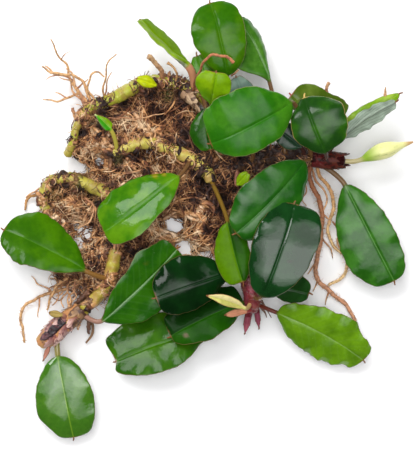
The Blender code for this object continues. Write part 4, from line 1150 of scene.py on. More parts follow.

# %% [markdown]
# ## Roots that stand free
#
# Roots leave the stems as round wiry strands. Near the felt they are thick and fuzzy, and they end
# in thin bare tips. Their routes are lists of stations, and side rootlets branch off them. All of
# them are pipes with a slight unevenness in radius.

# %% Root stations, as pixel, pixel, height and radius
ROOTS = {
    "root_right_main": (
        (313, 160, 8.2, 0.9), (309.5, 172, 6.2, 0.8), (312, 186, 5.0, 0.8), (318, 199, 4.0, 0.8),
        (322, 216, 3.0, 0.8), (321, 237, 1.8, 0.8), (317, 257, 1.2, 0.75), (315, 269, 1.1, 0.75),
        (320, 282, 1.1, 0.75), (329, 291, 1.1, 0.7), (341, 301, 1.0, 0.65), (349, 310, 0.9, 0.6),
        (356, 321, 0.8, 0.5),
    ),
    "root_right_loop": (
        (315, 161, 8.2, 0.6), (319, 174, 6.4, 0.6), (326, 184, 5.4, 0.6), (333, 196, 4.6, 0.6),
        (334, 208, 3.8, 0.6), (330, 220, 3.0, 0.55), (328, 231, 2.4, 0.5), (332, 242, 1.8, 0.5),
        (340, 251, 1.4, 0.5), (347, 261, 1.1, 0.5), (345, 274, 0.9, 0.5), (336, 281, 0.8, 0.5),
        (328, 286, 0.8, 0.45),
    ),
    "root_top_left_long": (
        (90, 108, 7.4, 0.65), (79, 92, 5.6, 0.6), (72, 84, 5.0, 0.5), (69, 75, 5.0, 0.42),
        (67, 65, 5.8, 0.38), (61, 58, 7.0, 0.32), (55, 49, 9.0, 0.28), (51, 40, 11.5, 0.2),
    ),
    "root_top_left_forked": (
        (92, 104, 8.4, 0.5), (84, 85, 8.2, 0.45), (78, 79, 7.8, 0.45), (70, 75, 7.6, 0.4),
        (60, 73.5, 7.6, 0.45), (50, 71, 7.8, 0.4), (42, 67, 8.2, 0.25),
    ),
    "root_top_left_low": (
        (79, 93, 5.4, 0.4), (67, 98, 3.4, 0.35), (56, 101, 2.2, 0.3), (43, 99.5, 1.4, 0.2),
    ),
    "root_top_arch": (
        (96, 103, 8.0, 0.4), (88, 89, 10.2, 0.35), (91, 76, 11.6, 0.35), (98, 72, 11.4, 0.3),
        (104, 77, 10.2, 0.25),
    ),
    "root_top_upright": (
        (105, 99, 8.0, 0.4), (103, 88, 10.5, 0.35), (106, 78, 12.0, 0.3), (107, 65, 14.0, 0.25),
        (116, 54, 16.0, 0.2),
    ),
    "root_left": (
        (46, 193, 5.0, 0.7), (36, 194.5, 2.6, 0.6), (28, 199, 1.4, 0.5), (24, 209, 0.7, 0.35),
    ),
    "root_lower_long": (
        (68, 288, 3.2, 0.5), (52, 293, 2.6, 0.5), (41, 297, 2.2, 0.5), (29, 303, 1.8, 0.45),
        (20.5, 313, 1.3, 0.45), (21.5, 326, 0.9, 0.4), (25, 342, 0.6, 0.3),
    ),
    "root_lower_short": (
        (68, 278, 4.2, 0.5), (57, 287, 4.5, 0.45), (51, 298, 3.8, 0.4), (47.5, 310, 2.0, 0.3),
    ),
    "root_lower_side": (
        (82, 315, 5.0, 0.5), (94, 327, 3.2, 0.45), (90, 336, 2.0, 0.4), (86, 343, 1.0, 0.3),
    ),
    "root_stub_thick": (
        (163, 82, 8.0, 0.9), (161, 71, 11.0, 0.85), (155, 62, 12.6, 0.8), (148, 57, 14.0, 0.95),
    ),
    "root_stub_thin": (
        (177, 84, 8.4, 0.4), (177, 74, 12.0, 0.35), (172, 66, 13.2, 0.4), (167, 62.5, 13.4, 0.6),
    ),
    "root_over_leaf": (
        (193, 92, 9.0, 0.45), (196, 79, 18.0, 0.42), (204, 62.5, 24.5, 0.42), (212, 55, 26.0, 0.45),
        (225, 57, 26.0, 0.45), (233, 62.5, 25.4, 0.6),
    ),
}
print(len(ROOTS), "root routes")


# %% The root's skin and finish
def root_skin(name, stations, finish, seed, sides=8, rough=0.12):
    """A wiry root whose radius wavers; the trait along runs from where it grows to its end."""
    path = smooth_path(stations_mm(stations), 8)
    winding = np.stack([ripples(path[:, :3], 5.0, seed + axis) for axis in range(3)], axis=-1)
    centre = path[:, :3] + 0.25 * winding
    centre[:, 2] = np.maximum(centre[:, 2], path[:, 3])
    rings = pipe_rings(centre, path[:, 3], sides)
    waver = 1 + rough * ripples(rings, 1.1, seed + 3)
    rings = pipe_rings(centre, path[:, 3, None] * waver, sides)
    traits = {"along": np.linspace(0, 1, len(path))[:, None]}
    return mesh_piece(name, rings, ring_faces(len(path), sides), finish, traits)


def root_finish(name, near, far, dark=(92, 58, 38)):
    """Darker where the root grows from, paler towards its end, with brown grain."""
    made = Finish(name, roughness=0.55, water=0.25, water_roughness=0.2)
    colour = made.mix(made.band(made.trait("along"), 0.1, 0.7), near, far)
    colour = made.mix(made.band(made.noise(0.9, 6.0), 0.42, 0.66, 0.0, 0.6), colour, dark)
    return made.done(colour, made.bump(made.noise(0.35, 6.0), 0.1))


ROOT_COLOURS = {
    "root_right_main": ((158, 96, 58), (204, 146, 108)),
    "root_right_loop": ((196, 146, 92), (234, 198, 142)),
    "root_lower_side": ((106, 78, 50), (150, 112, 76)),
    "root_left": ((150, 112, 60), (190, 140, 84)),
    "root_over_leaf": ((150, 90, 54), (188, 118, 78)),
    "root_stub_thick": ((170, 118, 80), (198, 158, 112)),
}
ROOT_TAN = ((198, 150, 98), (212, 166, 112))
for number, (name, stations) in enumerate(ROOTS.items()):
    near, far = ROOT_COLOURS.get(name, ROOT_TAN)
    finish = root_finish(name + "_skin", near, far)
    belongs(root_skin(name + "_strand", stations, finish, 60 + number), "root", name)
print(len(ROOTS), "roots")

# %% [markdown]
# ## Side rootlets and root hairs
#
# Thin rootlets leave the thick roots at a slant, and the upper left bundle is made of many of them
# side by side. They are the same pipes as the roots, only thinner and with six sides. Dark tufts of
# old root sit by the lower left tip, and a dark stub of painted shade fills the hollow of the top
# husk. The thick roots also wear short root hairs all round, which is what makes them look fuzzy.

# %% Rootlets, as pixel, pixel, height and radius
ROOTLETS = (
    ((307, 168, 7.0, 0.35), (304, 178, 5.4, 0.3), (306, 191, 3.6, 0.25), (301, 200, 2.0, 0.2),
     (306, 206, 1.0, 0.15)),
    ((311, 168, 7.0, 0.4), (316, 180, 5.2, 0.4), (324, 190, 4.4, 0.35), (327, 200, 3.6, 0.3),
     (322, 212, 3.0, 0.25)),
    ((321, 214, 3.0, 0.3), (328, 219, 3.2, 0.3), (334, 214, 3.4, 0.25)),
    ((320, 236, 1.8, 0.3), (326, 244, 1.6, 0.3), (330, 249, 1.2, 0.25), (332, 257, 0.6, 0.15)),
    ((317, 262, 1.2, 0.3), (312, 268, 0.9, 0.25), (307, 275, 0.4, 0.15)),
    ((318, 277, 1.1, 0.3), (316, 285, 0.8, 0.2), (313, 293, 0.4, 0.12)),
    ((329, 291, 1.0, 0.35), (327, 298, 0.8, 0.25), (325, 305, 0.4, 0.12)),
    ((333, 222, 3.0, 0.3), (340, 232, 2.0, 0.35), (336, 240, 1.6, 0.3), (343, 252, 1.0, 0.3),
     (347, 262, 0.9, 0.25)),
    ((88, 107, 7.4, 0.45), (82, 96, 6.4, 0.4), (76, 87, 5.8, 0.35), (73, 76, 5.4, 0.3),
     (66, 68, 5.6, 0.2)),
    ((86, 107, 7.0, 0.4), (80, 99, 5.6, 0.4), (74, 91, 4.8, 0.35), (70, 82, 4.6, 0.25),
     (60, 77, 4.6, 0.15)),
    ((72, 80, 5.0, 0.3), (66, 76, 5.6, 0.3), (56, 75, 6.4, 0.3), (49, 69, 7.0, 0.3),
     (45, 66, 7.4, 0.25)),
    ((57, 74, 6.8, 0.25), (51, 76, 6.6, 0.2), (46, 80, 6.4, 0.12)),
    ((61, 60, 6.8, 0.2), (65, 54, 7.0, 0.15), (70, 50, 7.0, 0.1)),
    ((94, 104, 8.2, 0.3), (98, 98, 9.0, 0.3), (101, 103, 8.6, 0.25)),
    ((104, 96, 8.6, 0.25), (107, 88, 9.6, 0.25), (108, 78, 10.6, 0.2), (111, 71, 11.2, 0.12)),
    ((77, 88, 6.0, 0.3), (84, 82, 7.0, 0.25), (88, 78, 8.0, 0.15)),
    ((72, 108, 3.0, 0.55), (73, 114, 3.0, 0.5), (75, 121, 3.0, 0.25)),
    ((67, 98, 3.4, 0.3), (61, 93, 3.2, 0.25), (55, 92, 2.6, 0.15)),
    ((52, 293, 2.6, 0.3), (48, 288, 2.0, 0.25), (38, 284, 1.4, 0.25), (31, 276, 0.8, 0.12)),
    ((40, 298, 2.1, 0.3), (38, 306, 1.6, 0.25), (38, 318, 0.6, 0.12)),
    ((64, 270, 4.4, 0.35), (66, 279, 3.8, 0.35), (58, 288, 2.8, 0.3), (59, 297, 1.8, 0.25),
     (52, 305, 1.0, 0.2)),
    ((69, 276, 4.4, 0.4), (61, 283, 3.6, 0.35), (62, 292, 2.6, 0.3), (55, 297, 1.8, 0.2)),
    ((72, 279, 4.4, 0.4), (67, 289, 4.0, 0.35), (70, 300, 4.2, 0.35), (67, 311, 5.0, 0.35)),
    ((75, 280, 4.2, 0.35), (74, 290, 3.6, 0.35), (67, 301, 4.0, 0.3), (72, 312, 5.2, 0.35)),
    ((66, 279, 4.0, 0.3), (69, 289, 3.4, 0.3), (61, 299, 3.6, 0.25), (64, 309, 4.4, 0.2)),
    ((80, 283, 4.0, 0.3), (72, 289, 3.6, 0.3), (76, 297, 3.8, 0.25), (70, 305, 4.4, 0.25),
     (75, 314, 5.4, 0.25)),
    ((62, 268, 4.0, 0.3), (54, 274, 3.0, 0.25), (57, 283, 2.4, 0.25), (49, 289, 1.6, 0.15)),
    ((77, 318, 5.2, 0.6), (78, 324, 4.2, 0.6), (79, 331, 3.0, 0.35)),
    ((385, 101, 9.4, 0.8), (385, 95, 10.0, 0.55), (386, 87, 10.8, 0.15)),
    ((327, 92, 12.6, 0.6), (328, 87, 13.6, 0.5), (329, 82, 14.4, 0.6)),
    ((230, 76, 14.8, 0.3), (235, 72, 15.6, 0.35), (238, 68, 16.2, 0.45)),
    ((44, 192, 4.4, 0.35), (38, 190, 3.4, 0.3), (31, 194, 2.4, 0.25), (26, 197, 1.4, 0.15)),
    ((84, 197, 7.2, 0.4), (92, 203, 7.2, 0.4), (94, 208, 7.0, 0.35), (92, 216, 6.8, 0.35),
     (87, 224, 6.4, 0.3), (78, 230, 6.0, 0.25)),
    ((108, 118, 7.6, 0.25), (124, 119, 8.0, 0.25), (142, 118, 8.0, 0.25), (154, 115, 7.8, 0.2),
     (165, 112, 7.4, 0.15)),
    ((190, 168, 8.0, 0.5), (200, 161, 9.0, 0.5), (206, 157, 8.6, 0.35)),
)
rootlet_finish = root_finish("rootlet_skin", (172, 118, 82), (214, 166, 120))
for number, stations in enumerate(ROOTLETS):
    rootlet = root_skin(f"rootlet_{number}", stations, rootlet_finish, 90 + number, sides=6, rough=0.16)
    belongs(rootlet, "root")
print(len(ROOTLETS), "side rootlets")

# %% Dark tufts, and a dark stub of painted shade in the top husk, as pixel, pixel, height and radius
DARK_TUFTS_AND_HUSK_SHADE = (
    ((90, 288, 5.0, 0.8), (85, 294, 4.6, 0.8), (80, 299, 4.0, 0.9), (75, 304, 3.4, 0.6)),
    ((90, 291, 4.6, 0.7), (86, 297, 4.0, 0.8), (82, 303, 3.4, 0.7)),
    ((88, 285, 5.0, 0.5), (81, 291, 4.4, 0.45), (75, 295, 3.6, 0.3)),
    ((87, 283, 4.6, 0.4), (80, 287, 4.2, 0.35), (76, 291, 3.8, 0.2)),
    ((88, 319, 4.8, 0.6), (89, 327, 3.6, 0.7), (90, 334, 2.6, 0.4)),
    # This dark stub is painted shade: it fills the hollow of the top husk.
    ((190, 93, 8.6, 0.9), (194, 95, 9.2, 1.2), (198, 97.5, 9.0, 0.9)),
    ((262, 300, 8.0, 0.4), (265, 308, 7.4, 0.3), (271, 317, 6.6, 0.12)),
    ((258, 303, 7.8, 0.4), (264, 311, 6.8, 0.3), (266, 318, 6.0, 0.12)),
)
tuft_finish = root_finish("dark_tuft_and_husk_shade_skin", (118, 80, 58), (104, 70, 52), dark=(44, 26, 22))
for number, stations in enumerate(DARK_TUFTS_AND_HUSK_SHADE):
    tuft = root_skin(f"dark_tuft_{number}", stations, tuft_finish, 160 + number, sides=6, rough=0.2)
    belongs(tuft, "root")
print(len(DARK_TUFTS_AND_HUSK_SHADE), "dark tufts")

# %% Fuzz on the thick roots
FUZZ_LENGTH_MM = (0.4, 1.3)
FUZZ_RADII_MM = (0.07, 0.03)
FUZZ_LOWEST_MM = 0.1
FUZZY_ROOTS = ("root_right_main", "root_right_loop", "root_lower_long", "root_lower_short")


def fuzz(name, stations, seed, hairs_per_mm=4.5, steps=4):
    """Short hairs that stand off a root all the way round."""
    dice = np.random.default_rng(seed)
    path = smooth_path(stations_mm(stations), 8)
    length = run_along(path)[-1]
    count = int(length * hairs_per_mm)
    foot = at_distances(path, dice.uniform(0, length, count))
    outward = unit(dice.normal(size=(count, 3)))
    reach = np.linspace(0, 1, steps)[None, :, None] * dice.uniform(*FUZZ_LENGTH_MM, (count, 1, 1))
    bend = dice.normal(0, 0.3, (count, 1, 3)) * reach ** 2
    hairs = foot[:, None, :3] + outward[:, None, :] * (foot[:, 3, None, None] * 0.8 + reach) + bend
    hairs[..., 2] = np.maximum(hairs[..., 2], FUZZ_LOWEST_MM)
    radii = np.broadcast_to(np.linspace(*FUZZ_RADII_MM, steps), (count, steps))
    rings = pipe_rings(hairs, radii, 3)
    piece = mesh_piece(name, rings, ring_faces(steps, 3, count), rootlet_finish, {"along": 0.8})
    return belongs(piece, "root")


for number, name in enumerate(FUZZY_ROOTS):
    fuzz(name + "_fuzz", ROOTS[name], 130 + number)
print(len(FUZZY_ROOTS), "fuzzy roots")

# %% [markdown]
# ## The spathe bud
#
# A flower of this family opens inside a hooded leaf, the spathe. This one is still shut: a pale
# spindle, lime where its stalk ends and brown at the very tip, wrapped once so that a seam runs
# down it. It is a pipe again, with stations for its swelling, and the seam is a small step in the
# radius that winds as it goes.

# %% Grow the bud
SPATHE_BUD = (
    (342, 161, 9.3, 0.8), (353, 161.5, 9.4, 0.8), (362, 159.5, 9.6, 0.9), (370, 156, 9.8, 1.9),
    (380, 152, 10.0, 2.7), (390, 149, 10.0, 2.5), (401, 145.5, 9.6, 1.2), (413, 142, 9.0, 0.3),
)
BUD_SIDES = 36
bud_path = smooth_path(stations_mm(SPATHE_BUD), 12)
bud_angle = np.linspace(0, 2 * math.pi, BUD_SIDES, endpoint=False)
bud_along = np.linspace(0, 1, len(bud_path))[:, None]
seam = (bud_angle - 1.6 * bud_along - 4.2) % (2 * math.pi) / (2 * math.pi)
bud_radii = bud_path[:, 3, None] * (1 + 0.06 * (seam - 0.5) + 0.02 * np.sin(9 * bud_angle))
bud_rings = pipe_rings(bud_path[:, :3], bud_radii, BUD_SIDES)
made = Finish("spathe_skin", roughness=0.42, water=0.4, water_roughness=0.15)
along = made.trait("along")
colour = made.mix(made.band(along, 0.22, 0.36), (186, 172, 122), (140, 176, 44))
colour = made.mix(made.band(along, 0.36, 0.62), colour, (222, 222, 150))
colour = made.mix(made.band(along, 0.86, 0.97), colour, (190, 150, 100))
colour = made.mix(made.band(made.trait("seam"), 0.0, 0.05, 0.5, 0.0), colour, (128, 150, 60))
colour = made.mix(made.band(made.noise(1.0, 5.0), 0.5, 0.8, 0.0, 0.3), colour, (160, 178, 84))
bud_finish = made.done(colour, made.bump(made.noise(0.8, 4.0), 0.05))
bud_faces = ring_faces(len(bud_path), BUD_SIDES)
bud_traits = {"along": bud_along, "seam": seam}
bud = mesh_piece("spathe_bud_skin", bud_rings, bud_faces, bud_finish, bud_traits)
belongs(bud, "young_leaf", "spathe_bud")
print("bud,", len(bud.data.polygons), "faces")

# %% [markdown]
# ## The felt of roots
#
# Under the stems, years of roots have felted into a brown mat. It is a mound about 7 mm high with a
# flat underside, and here and there a gap lets the table show through. Painting it on a lump
# would look like a lump, and a hair system is lost when the model is exported. So the felt is made
# of real fibres: thousands of thin pipes that wander over the mound, all worked out as arrays in
# one go. A stiff fibre bridges small dips, so its height keeps near its own level. Their tone
# follows named spots: dark where litter lies and, as painted shade, in the hollows and holes and in
# the shadow of leaves, tan where fresh roots run, and green where moss sits. A rough core under
# them, which thins out towards the rim, stops the table from shining through; its near-black
# browns are painted shade of the felt's depths, and they show as dark holes where fibres leave off.

# %% The shape of the mound
MAT_CENTRE_PX = (140.0, 190.0)
MAT_OUTLINE_PX = (
    (84, 112), (108, 102), (130, 90), (150, 83), (172, 83), (190, 89), (202, 100), (207, 121),
    (216, 149), (240, 152), (262, 146), (284, 141), (300, 144), (310, 156), (284, 170), (256, 179),
    (240, 190), (233, 206), (224, 225), (220, 246), (212, 258), (190, 262), (160, 264), (136, 275),
    (122, 289), (105, 297), (92, 292), (76, 285), (62, 280), (58, 262), (56, 240), (48, 213),
    (44, 196), (49, 181), (64, 176), (82, 176), (90, 169), (84, 164), (69, 153), (74, 138),
    (77, 122),
)
MOUND_SHARES = (0.0, 0.28, 0.55, 0.78, 0.93, 0.985, 1.0)
MOUND_HEIGHTS_MM = (6.8, 6.8, 6.4, 6.2, 5.2, 2.6, 0.8)
GAPS_PX = (
    (173.5, 226, 8.5, 6.5), (182.5, 247.5, 8, 7), (204, 253.5, 5, 4), (173, 218, 4, 2.4),
    (78, 227.5, 4.5, 3), (87, 233.5, 4.5, 5), (77.5, 241.5, 5, 4), (80, 246.5, 2.5, 3),
    (99, 160.5, 4.5, 5), (148, 152, 3, 3.5), (157, 157, 2.5, 1.8),
)
CRATER_RIM_PX = 8
CRATER_DEPTH_MM = 5.2
CRATERS_PX = tuple(
    (x, y, max(half_x, half_y) + CRATER_RIM_PX, CRATER_DEPTH_MM) for x, y, half_x, half_y in GAPS_PX
)
HOLES_PX = (
    (160, 117, 6, 4.5), (203, 106, 5, 4.5), (206, 180, 5, 4), (224, 198, 4, 5), (80, 133, 3, 3),
    (126, 103, 5, 3),
)
HOLLOWS_PX = (
    (160, 117, 9, 4.0), (203, 106, 8, 3.4), (212, 232, 9, 2.0), (206, 182, 12, 2.6),
    (224, 198, 9, 2.6), (80, 133, 6, 2.4), (126, 103, 8, 2.0), (100, 108, 6, 1.0),
    (188, 120, 6, 1.5), (152, 266, 18, 2.4),
)

outline_mm = at_photo(*np.array(MAT_OUTLINE_PX, float).T, 0.0)[:, :2]
centre_mm = at_photo(*MAT_CENTRE_PX, 0.0)[:2]
spokes_mm = outline_mm - centre_mm
spoke_angles = np.arctan2(spokes_mm[:, 1], spokes_mm[:, 0])
by_angle = np.argsort(spoke_angles)


print("mat outline,", len(outline_mm), "points")


# %% How high the felt lies
def mound_share(x, y):
    """How far out a place is: 0 at the mat's centre and 1 on its outline."""
    away = np.hypot(x - centre_mm[0], y - centre_mm[1])
    angle = np.arctan2(y - centre_mm[1], x - centre_mm[0])
    reach = np.hypot(*spokes_mm[by_angle].T)
    fray = 1 + 0.03 * np.sin(23 * angle + 1.0) + 0.025 * np.sin(41 * angle)
    return fray * away / np.interp(angle, spoke_angles[by_angle], reach, period=2 * math.pi)


def patches(x, y, spots):
    """The strongest of some round soft spots, given as pixel, pixel, radius in pixels and strength."""
    total = np.zeros_like(x)
    for x_px, y_px, radius_px, strength in spots:
        spot = at_photo(float(x_px), float(y_px), 6.0)
        away = np.hypot(x - spot[0], y - spot[1]) / (radius_px * MM_PER_PX)
        total = np.maximum(total, strength * np.exp(-away ** 2))
    return total


def in_gap(x, y, grow_px=0.0, gaps=GAPS_PX):
    """True inside a gap, an ellipse given by its middle and half sizes in pixels."""
    inside = np.zeros(x.shape, bool)
    for x_px, y_px, half_x, half_y in gaps:
        spot = at_photo(float(x_px), float(y_px), 3.0)
        wide = (half_x + grow_px) * MM_PER_PX
        tall = (half_y + grow_px) * MM_PER_PX
        inside |= ((x - spot[0]) / wide) ** 2 + ((y - spot[1]) / tall) ** 2 < 1
    return inside


def clumps(x, y, size_mm, seed):
    """Smooth bumps of about 1 over the mat, of this size."""
    return ripples(np.stack(np.broadcast_arrays(x, y, 0.0), axis=-1), size_mm, seed, waves=9)


def mound_height(x, y):
    """Height of the felt's upper side, with its hollows and the craters round its gaps."""
    share = mound_share(x, y)
    mound = np.interp(share, MOUND_SHARES, MOUND_HEIGHTS_MM)
    mound = mound + 0.45 * clumps(x, y, 5.5, 7) * (1 - ease(share, 0.75, 1.0))
    return np.maximum(mound - patches(x, y, HOLLOWS_PX) - patches(x, y, CRATERS_PX), 0.6)


print("height at the centre,", round(float(mound_height(*centre_mm)), 2), "mm")

# %% The dark core
CORE_STEP_MM = 0.9
CORE_UNDER_FELT_MM = 2.0
CORE_ROUGH_MM = 0.6
CORE_THINS_FROM, CORE_THINS_TO, CORE_END = 0.66, 0.94, 0.93
CORE_LEAST_MM = 0.9
CORE_FLOOR_MM = 0.7
CORE_OFF_GAPS_PX = 3.0
core_low = outline_mm.min(0)
core_count = ((outline_mm.max(0) - core_low) / CORE_STEP_MM).astype(int) + 2
lines = [low + CORE_STEP_MM * np.arange(count) for low, count in zip(core_low, core_count)]
grid_x, grid_y = np.meshgrid(*lines, indexing="ij")
rough = ripples(np.stack((grid_x, grid_y, np.zeros_like(grid_x)), axis=-1), 2.2, 5)
core_thins = 1 - ease(mound_share(grid_x, grid_y), CORE_THINS_FROM, CORE_THINS_TO)
core_top = mound_height(grid_x, grid_y) - CORE_UNDER_FELT_MM + CORE_ROUGH_MM * rough
core_top = np.maximum(core_top * core_thins, CORE_LEAST_MM)
core_floor = np.full_like(grid_x, CORE_FLOOR_MM)
middle_x, middle_y = grid_x[:-1, :-1] + CORE_STEP_MM / 2, grid_y[:-1, :-1] + CORE_STEP_MM / 2
kept = (mound_share(middle_x, middle_y) < CORE_END) & ~in_gap(middle_x, middle_y, CORE_OFF_GAPS_PX)
print("core squares,", int(kept.sum()))

# %% The core's faces: a top, a floor, and walls where it ends
index = np.arange(grid_x.size).reshape(grid_x.shape)
corner_a, corner_b, corner_c, corner_d = index[:-1, :-1], index[1:, :-1], index[1:, 1:], index[:-1, 1:]
below = grid_x.size
top_faces = np.stack((corner_a, corner_b, corner_c, corner_d), axis=-1)[kept]
floor_faces = np.stack((corner_d, corner_c, corner_b, corner_a), axis=-1)[kept] + below
walls = []
padded = np.pad(kept, 1)
for neighbour, first, second in (
    (padded[1:-1, :-2], corner_a, corner_b), (padded[2:, 1:-1], corner_b, corner_c),
    (padded[1:-1, 2:], corner_c, corner_d), (padded[:-2, 1:-1], corner_d, corner_a),
):
    wall = np.stack((first + below, second + below, second, first), axis=-1)
    walls.append(wall[kept & ~neighbour])
core_faces = np.vstack((top_faces, floor_faces, *walls))
core_points = np.concatenate([
    np.stack((grid_x, grid_y, level), axis=-1).reshape(-1, 3) for level in (core_top, core_floor)
])
used, core_faces = np.unique(core_faces, return_inverse=True)
made = Finish("felt_core", roughness=0.9)
# Near-black to dark brown: painted shade of the felt's depths, which shows where the fibres leave holes.
colour = made.mix(made.band(made.noise(2.0, 6.0), 0.4, 0.65), (34, 21, 17), (92, 62, 46))
core_finish = made.done(colour, made.bump(made.noise(0.6, 6.0), 0.4))
core = mesh_piece("felt_core", core_points[used], [core_faces.reshape(-1, 4)], core_finish)
belongs(core, "root_mat", "root_mat")
print("core,", len(core.data.polygons), "faces")

# %% Spots on the felt, as pixel, pixel, radius in pixels and strength
# Dark spots are litter and painted shade: most sit in the hollows and holes, and one lies in the shadow
# between two leaves.
DARK_LITTER_AND_SHADE_SPOTS = (
    (205, 182, 16, 1.0), (222, 206, 15, 1.0), (218, 232, 12, 0.9), (196, 196, 12, 0.8),
    (160, 113, 8, 1.0), (240, 162, 14, 1.0), (268, 154, 14, 1.0), (292, 154, 12, 1.0),
    (102, 107, 8, 0.9), (128, 104, 9, 0.7), (150, 98, 10, 0.4), (188, 126, 14, 0.7),
    (200, 146, 10, 0.6), (100, 128, 6, 0.7), (82, 132, 6, 0.8), (175, 104, 17, 0.75),
    (186, 140, 15, 0.8), (104, 132, 9, 0.5), (168, 149, 4, 1.0), (200, 160, 5, 1.0),
    (138, 253, 12, 0.9), (232, 184, 13, 0.9), (112, 138, 5, 0.7), (88, 190, 9, 0.7),
    (98, 204, 7, 0.7), (150, 262, 10, 0.6), (92, 262, 8, 0.6), (178, 222, 4, 0.7),
    (176, 262, 8, 0.4), (136, 156, 7, 0.7), (118, 157, 9, 0.9),
)
TAN_SPOTS = (
    (74, 212, 13, 0.35), (66, 236, 12, 0.5), (84, 248, 9, 0.5), (172, 238, 14, 0.6),
    (192, 250, 12, 0.8), (104, 150, 9, 0.9), (88, 152, 8, 0.8), (128, 122, 9, 0.7),
    (142, 128, 8, 0.8), (170, 110, 7, 0.5), (94, 290, 10, 0.5), (252, 172, 6, 0.4),
    (205, 246, 8, 0.6), (160, 232, 10, 0.5), (230, 182, 8, 0.4), (88, 118, 8, 0.6),
)
MOSS_SPOTS = (
    (84, 182, 10, 1.0), (96, 192, 8, 0.7), (168, 96, 6, 0.9), (56, 196, 7, 0.6), (98, 122, 5, 0.5),
    (72, 172, 7, 0.6), (118, 160, 6, 0.5), (180, 178, 6, 0.3),
)
FILM_SPOTS = (
    (143, 134, 9, 1.0), (168, 134, 8, 1.0), (101, 146, 10, 1.0), (74, 216, 12, 0.6),
    (190, 215, 18, 0.5), (176, 236, 14, 0.9), (84, 150, 6, 0.6), (92, 124, 8, 0.8),
    (196, 244, 10, 0.9), (92, 240, 9, 0.8), (128, 124, 9, 0.7),
)
EDGE_SPOTS = (
    (76, 296, 10, 1.0), (92, 302, 10, 1.0), (110, 296, 10, 1.0), (62, 262, 8, 0.8),
    (60, 280, 8, 0.9), (48, 204, 6, 0.6), (78, 168, 7, 0.8), (72, 150, 6, 0.5), (132, 280, 8, 0.6),
    (76, 122, 6, 0.5), (226, 226, 6, 0.5), (90, 110, 6, 0.4),
)
STRING_SPOTS = ((72, 288, 13, 1.0), (98, 290, 9, 1.0), (60, 270, 7, 0.8), (126, 276, 7, 0.6))
CLEAN_STEM_SPOTS = (
    (122, 92, 13, 1.6), (150, 81, 8, 1.1), (171, 82, 6, 0.9), (68, 151, 10, 1.9), (76, 128, 7, 1.2),
    (142, 144, 9, 1.7), (184, 154, 8, 1.7), (210, 176, 5, 1.0), (92, 187, 10, 1.5),
    (66, 180, 5, 0.7), (112, 262, 12, 2.0), (96, 298, 10, 1.8), (114, 248, 7, 1.2),
)
print(len(DARK_LITTER_AND_SHADE_SPOTS), "dark spots,", len(TAN_SPOTS), "tan ones and", len(MOSS_SPOTS), "of moss")


# %% The finish of the felt
def felt_finish(name, wet, palest):
    """Fibre colour from the traits tone, 0 dark to 1 pale, and moss."""
    made = Finish(name, roughness=0.6, water=wet, water_roughness=0.25)
    tone = made.trait("tone")
    colour = made.mix(made.band(tone, 0.0, 0.36), (36, 21, 20), (122, 75, 48))
    colour = made.mix(made.band(tone, 0.32, 0.62), colour, (206, 150, 98))
    colour = made.mix(made.band(tone, 0.62, 1.0), colour, palest)
    colour = made.mix(made.band(made.noise(5.0, 2.0), 0.5, 0.66, 0.0, 0.28), colour, (112, 86, 78))
    colour = made.mix(made.trait("moss"), colour, (108, 106, 34))
    colour = made.mix(made.band(made.noise(0.7, 4.0), 0.45, 0.7, 0.0, 0.3), colour, (84, 48, 32))
    return made.done(colour)


# %% The top of the stems, for what lies over them
stems_under_felt = [stations for name, stations in STEMS.items() if name != "shoot_front"]
stem_spots = np.vstack([smooth_path(stations_mm(stations), 7) for stations in stems_under_felt])


def stem_top(x, y):
    """Height of the upper side of a stem over each place, and 0 where no stem runs."""
    top = np.zeros_like(x)
    for spot_x, spot_y, spot_z, radius in stem_spots:
        over = radius ** 2 - (x - spot_x) ** 2 - (y - spot_y) ** 2
        top = np.maximum(top, np.where(over > 0, spot_z + np.sqrt(np.maximum(over, 0)), 0))
    return top


print(len(stem_spots), "places along the stems")


# %% What a layer of fibres is like unless its own facts say otherwise
FELT_USUAL = dict(
    steps=9, sides=3, tone=0.0, spread=0.17, palest=(242, 210, 168), wet=0.2, flatness=1.0, reach=1.0,
    bend=0.3, loop=0.9, crossing=0.3, on_stems=False, rim=False, webbed=False, spots=None,
)
STIFFNESS_MM = 0.9
OFF_STEM_MM = 1.9
BEYOND_MAT_MM = 3.0
RIM_SHARE, RIM_BREADTH = 0.965, 0.055
print("a layer has", len(FELT_USUAL), "usual facts")


# %% Where fibres start and run
def fibre_starts(dice, layer):
    """Places for fibres to start: by chance over the mat or round the stems, where they are wanted."""
    tries = layer["count"] * (16 if layer["on_stems"] or layer["spots"] or layer["rim"] else 5)
    if layer["on_stems"]:
        near = stem_spots[dice.integers(0, len(stem_spots), tries)]
        x, y = (near[:, axis] + dice.normal(0, OFF_STEM_MM, tries) for axis in (0, 1))
    else:
        low, high = outline_mm.min(0) - BEYOND_MAT_MM, outline_mm.max(0) + BEYOND_MAT_MM
        x, y = (dice.uniform(low[axis], high[axis], tries) for axis in (0, 1))
    wanted = np.ones(tries, bool)
    if layer["spots"]:
        wanted = patches(x, y, layer["spots"]) > dice.uniform(0.15, 1, tries)
    if layer["webbed"]:
        wanted &= patches(x, y, FILM_SPOTS) < dice.uniform(0.2, 1.3, tries)
    if layer["rim"]:
        wanted &= np.abs(mound_share(x, y) - RIM_SHARE) < RIM_BREADTH
    return x[wanted], y[wanted]


def wander(dice, layer, x, y, direction):
    """Paths that start at these places, head this way and turn a little at every step."""
    count, steps, bend = len(x), layer["steps"], layer["bend"]
    length = dice.uniform(*layer["length"], count)
    turn = dice.normal(0, bend, (count, steps)) + dice.normal(0, bend, (count, 1))
    angle = direction[:, None] + np.cumsum(turn, axis=1)
    stride = (length / steps)[:, None]
    path_x = x[:, None] + np.cumsum(np.cos(angle) * stride, axis=1)
    path_y = y[:, None] + np.cumsum(np.sin(angle) * stride, axis=1)
    return path_x, path_y


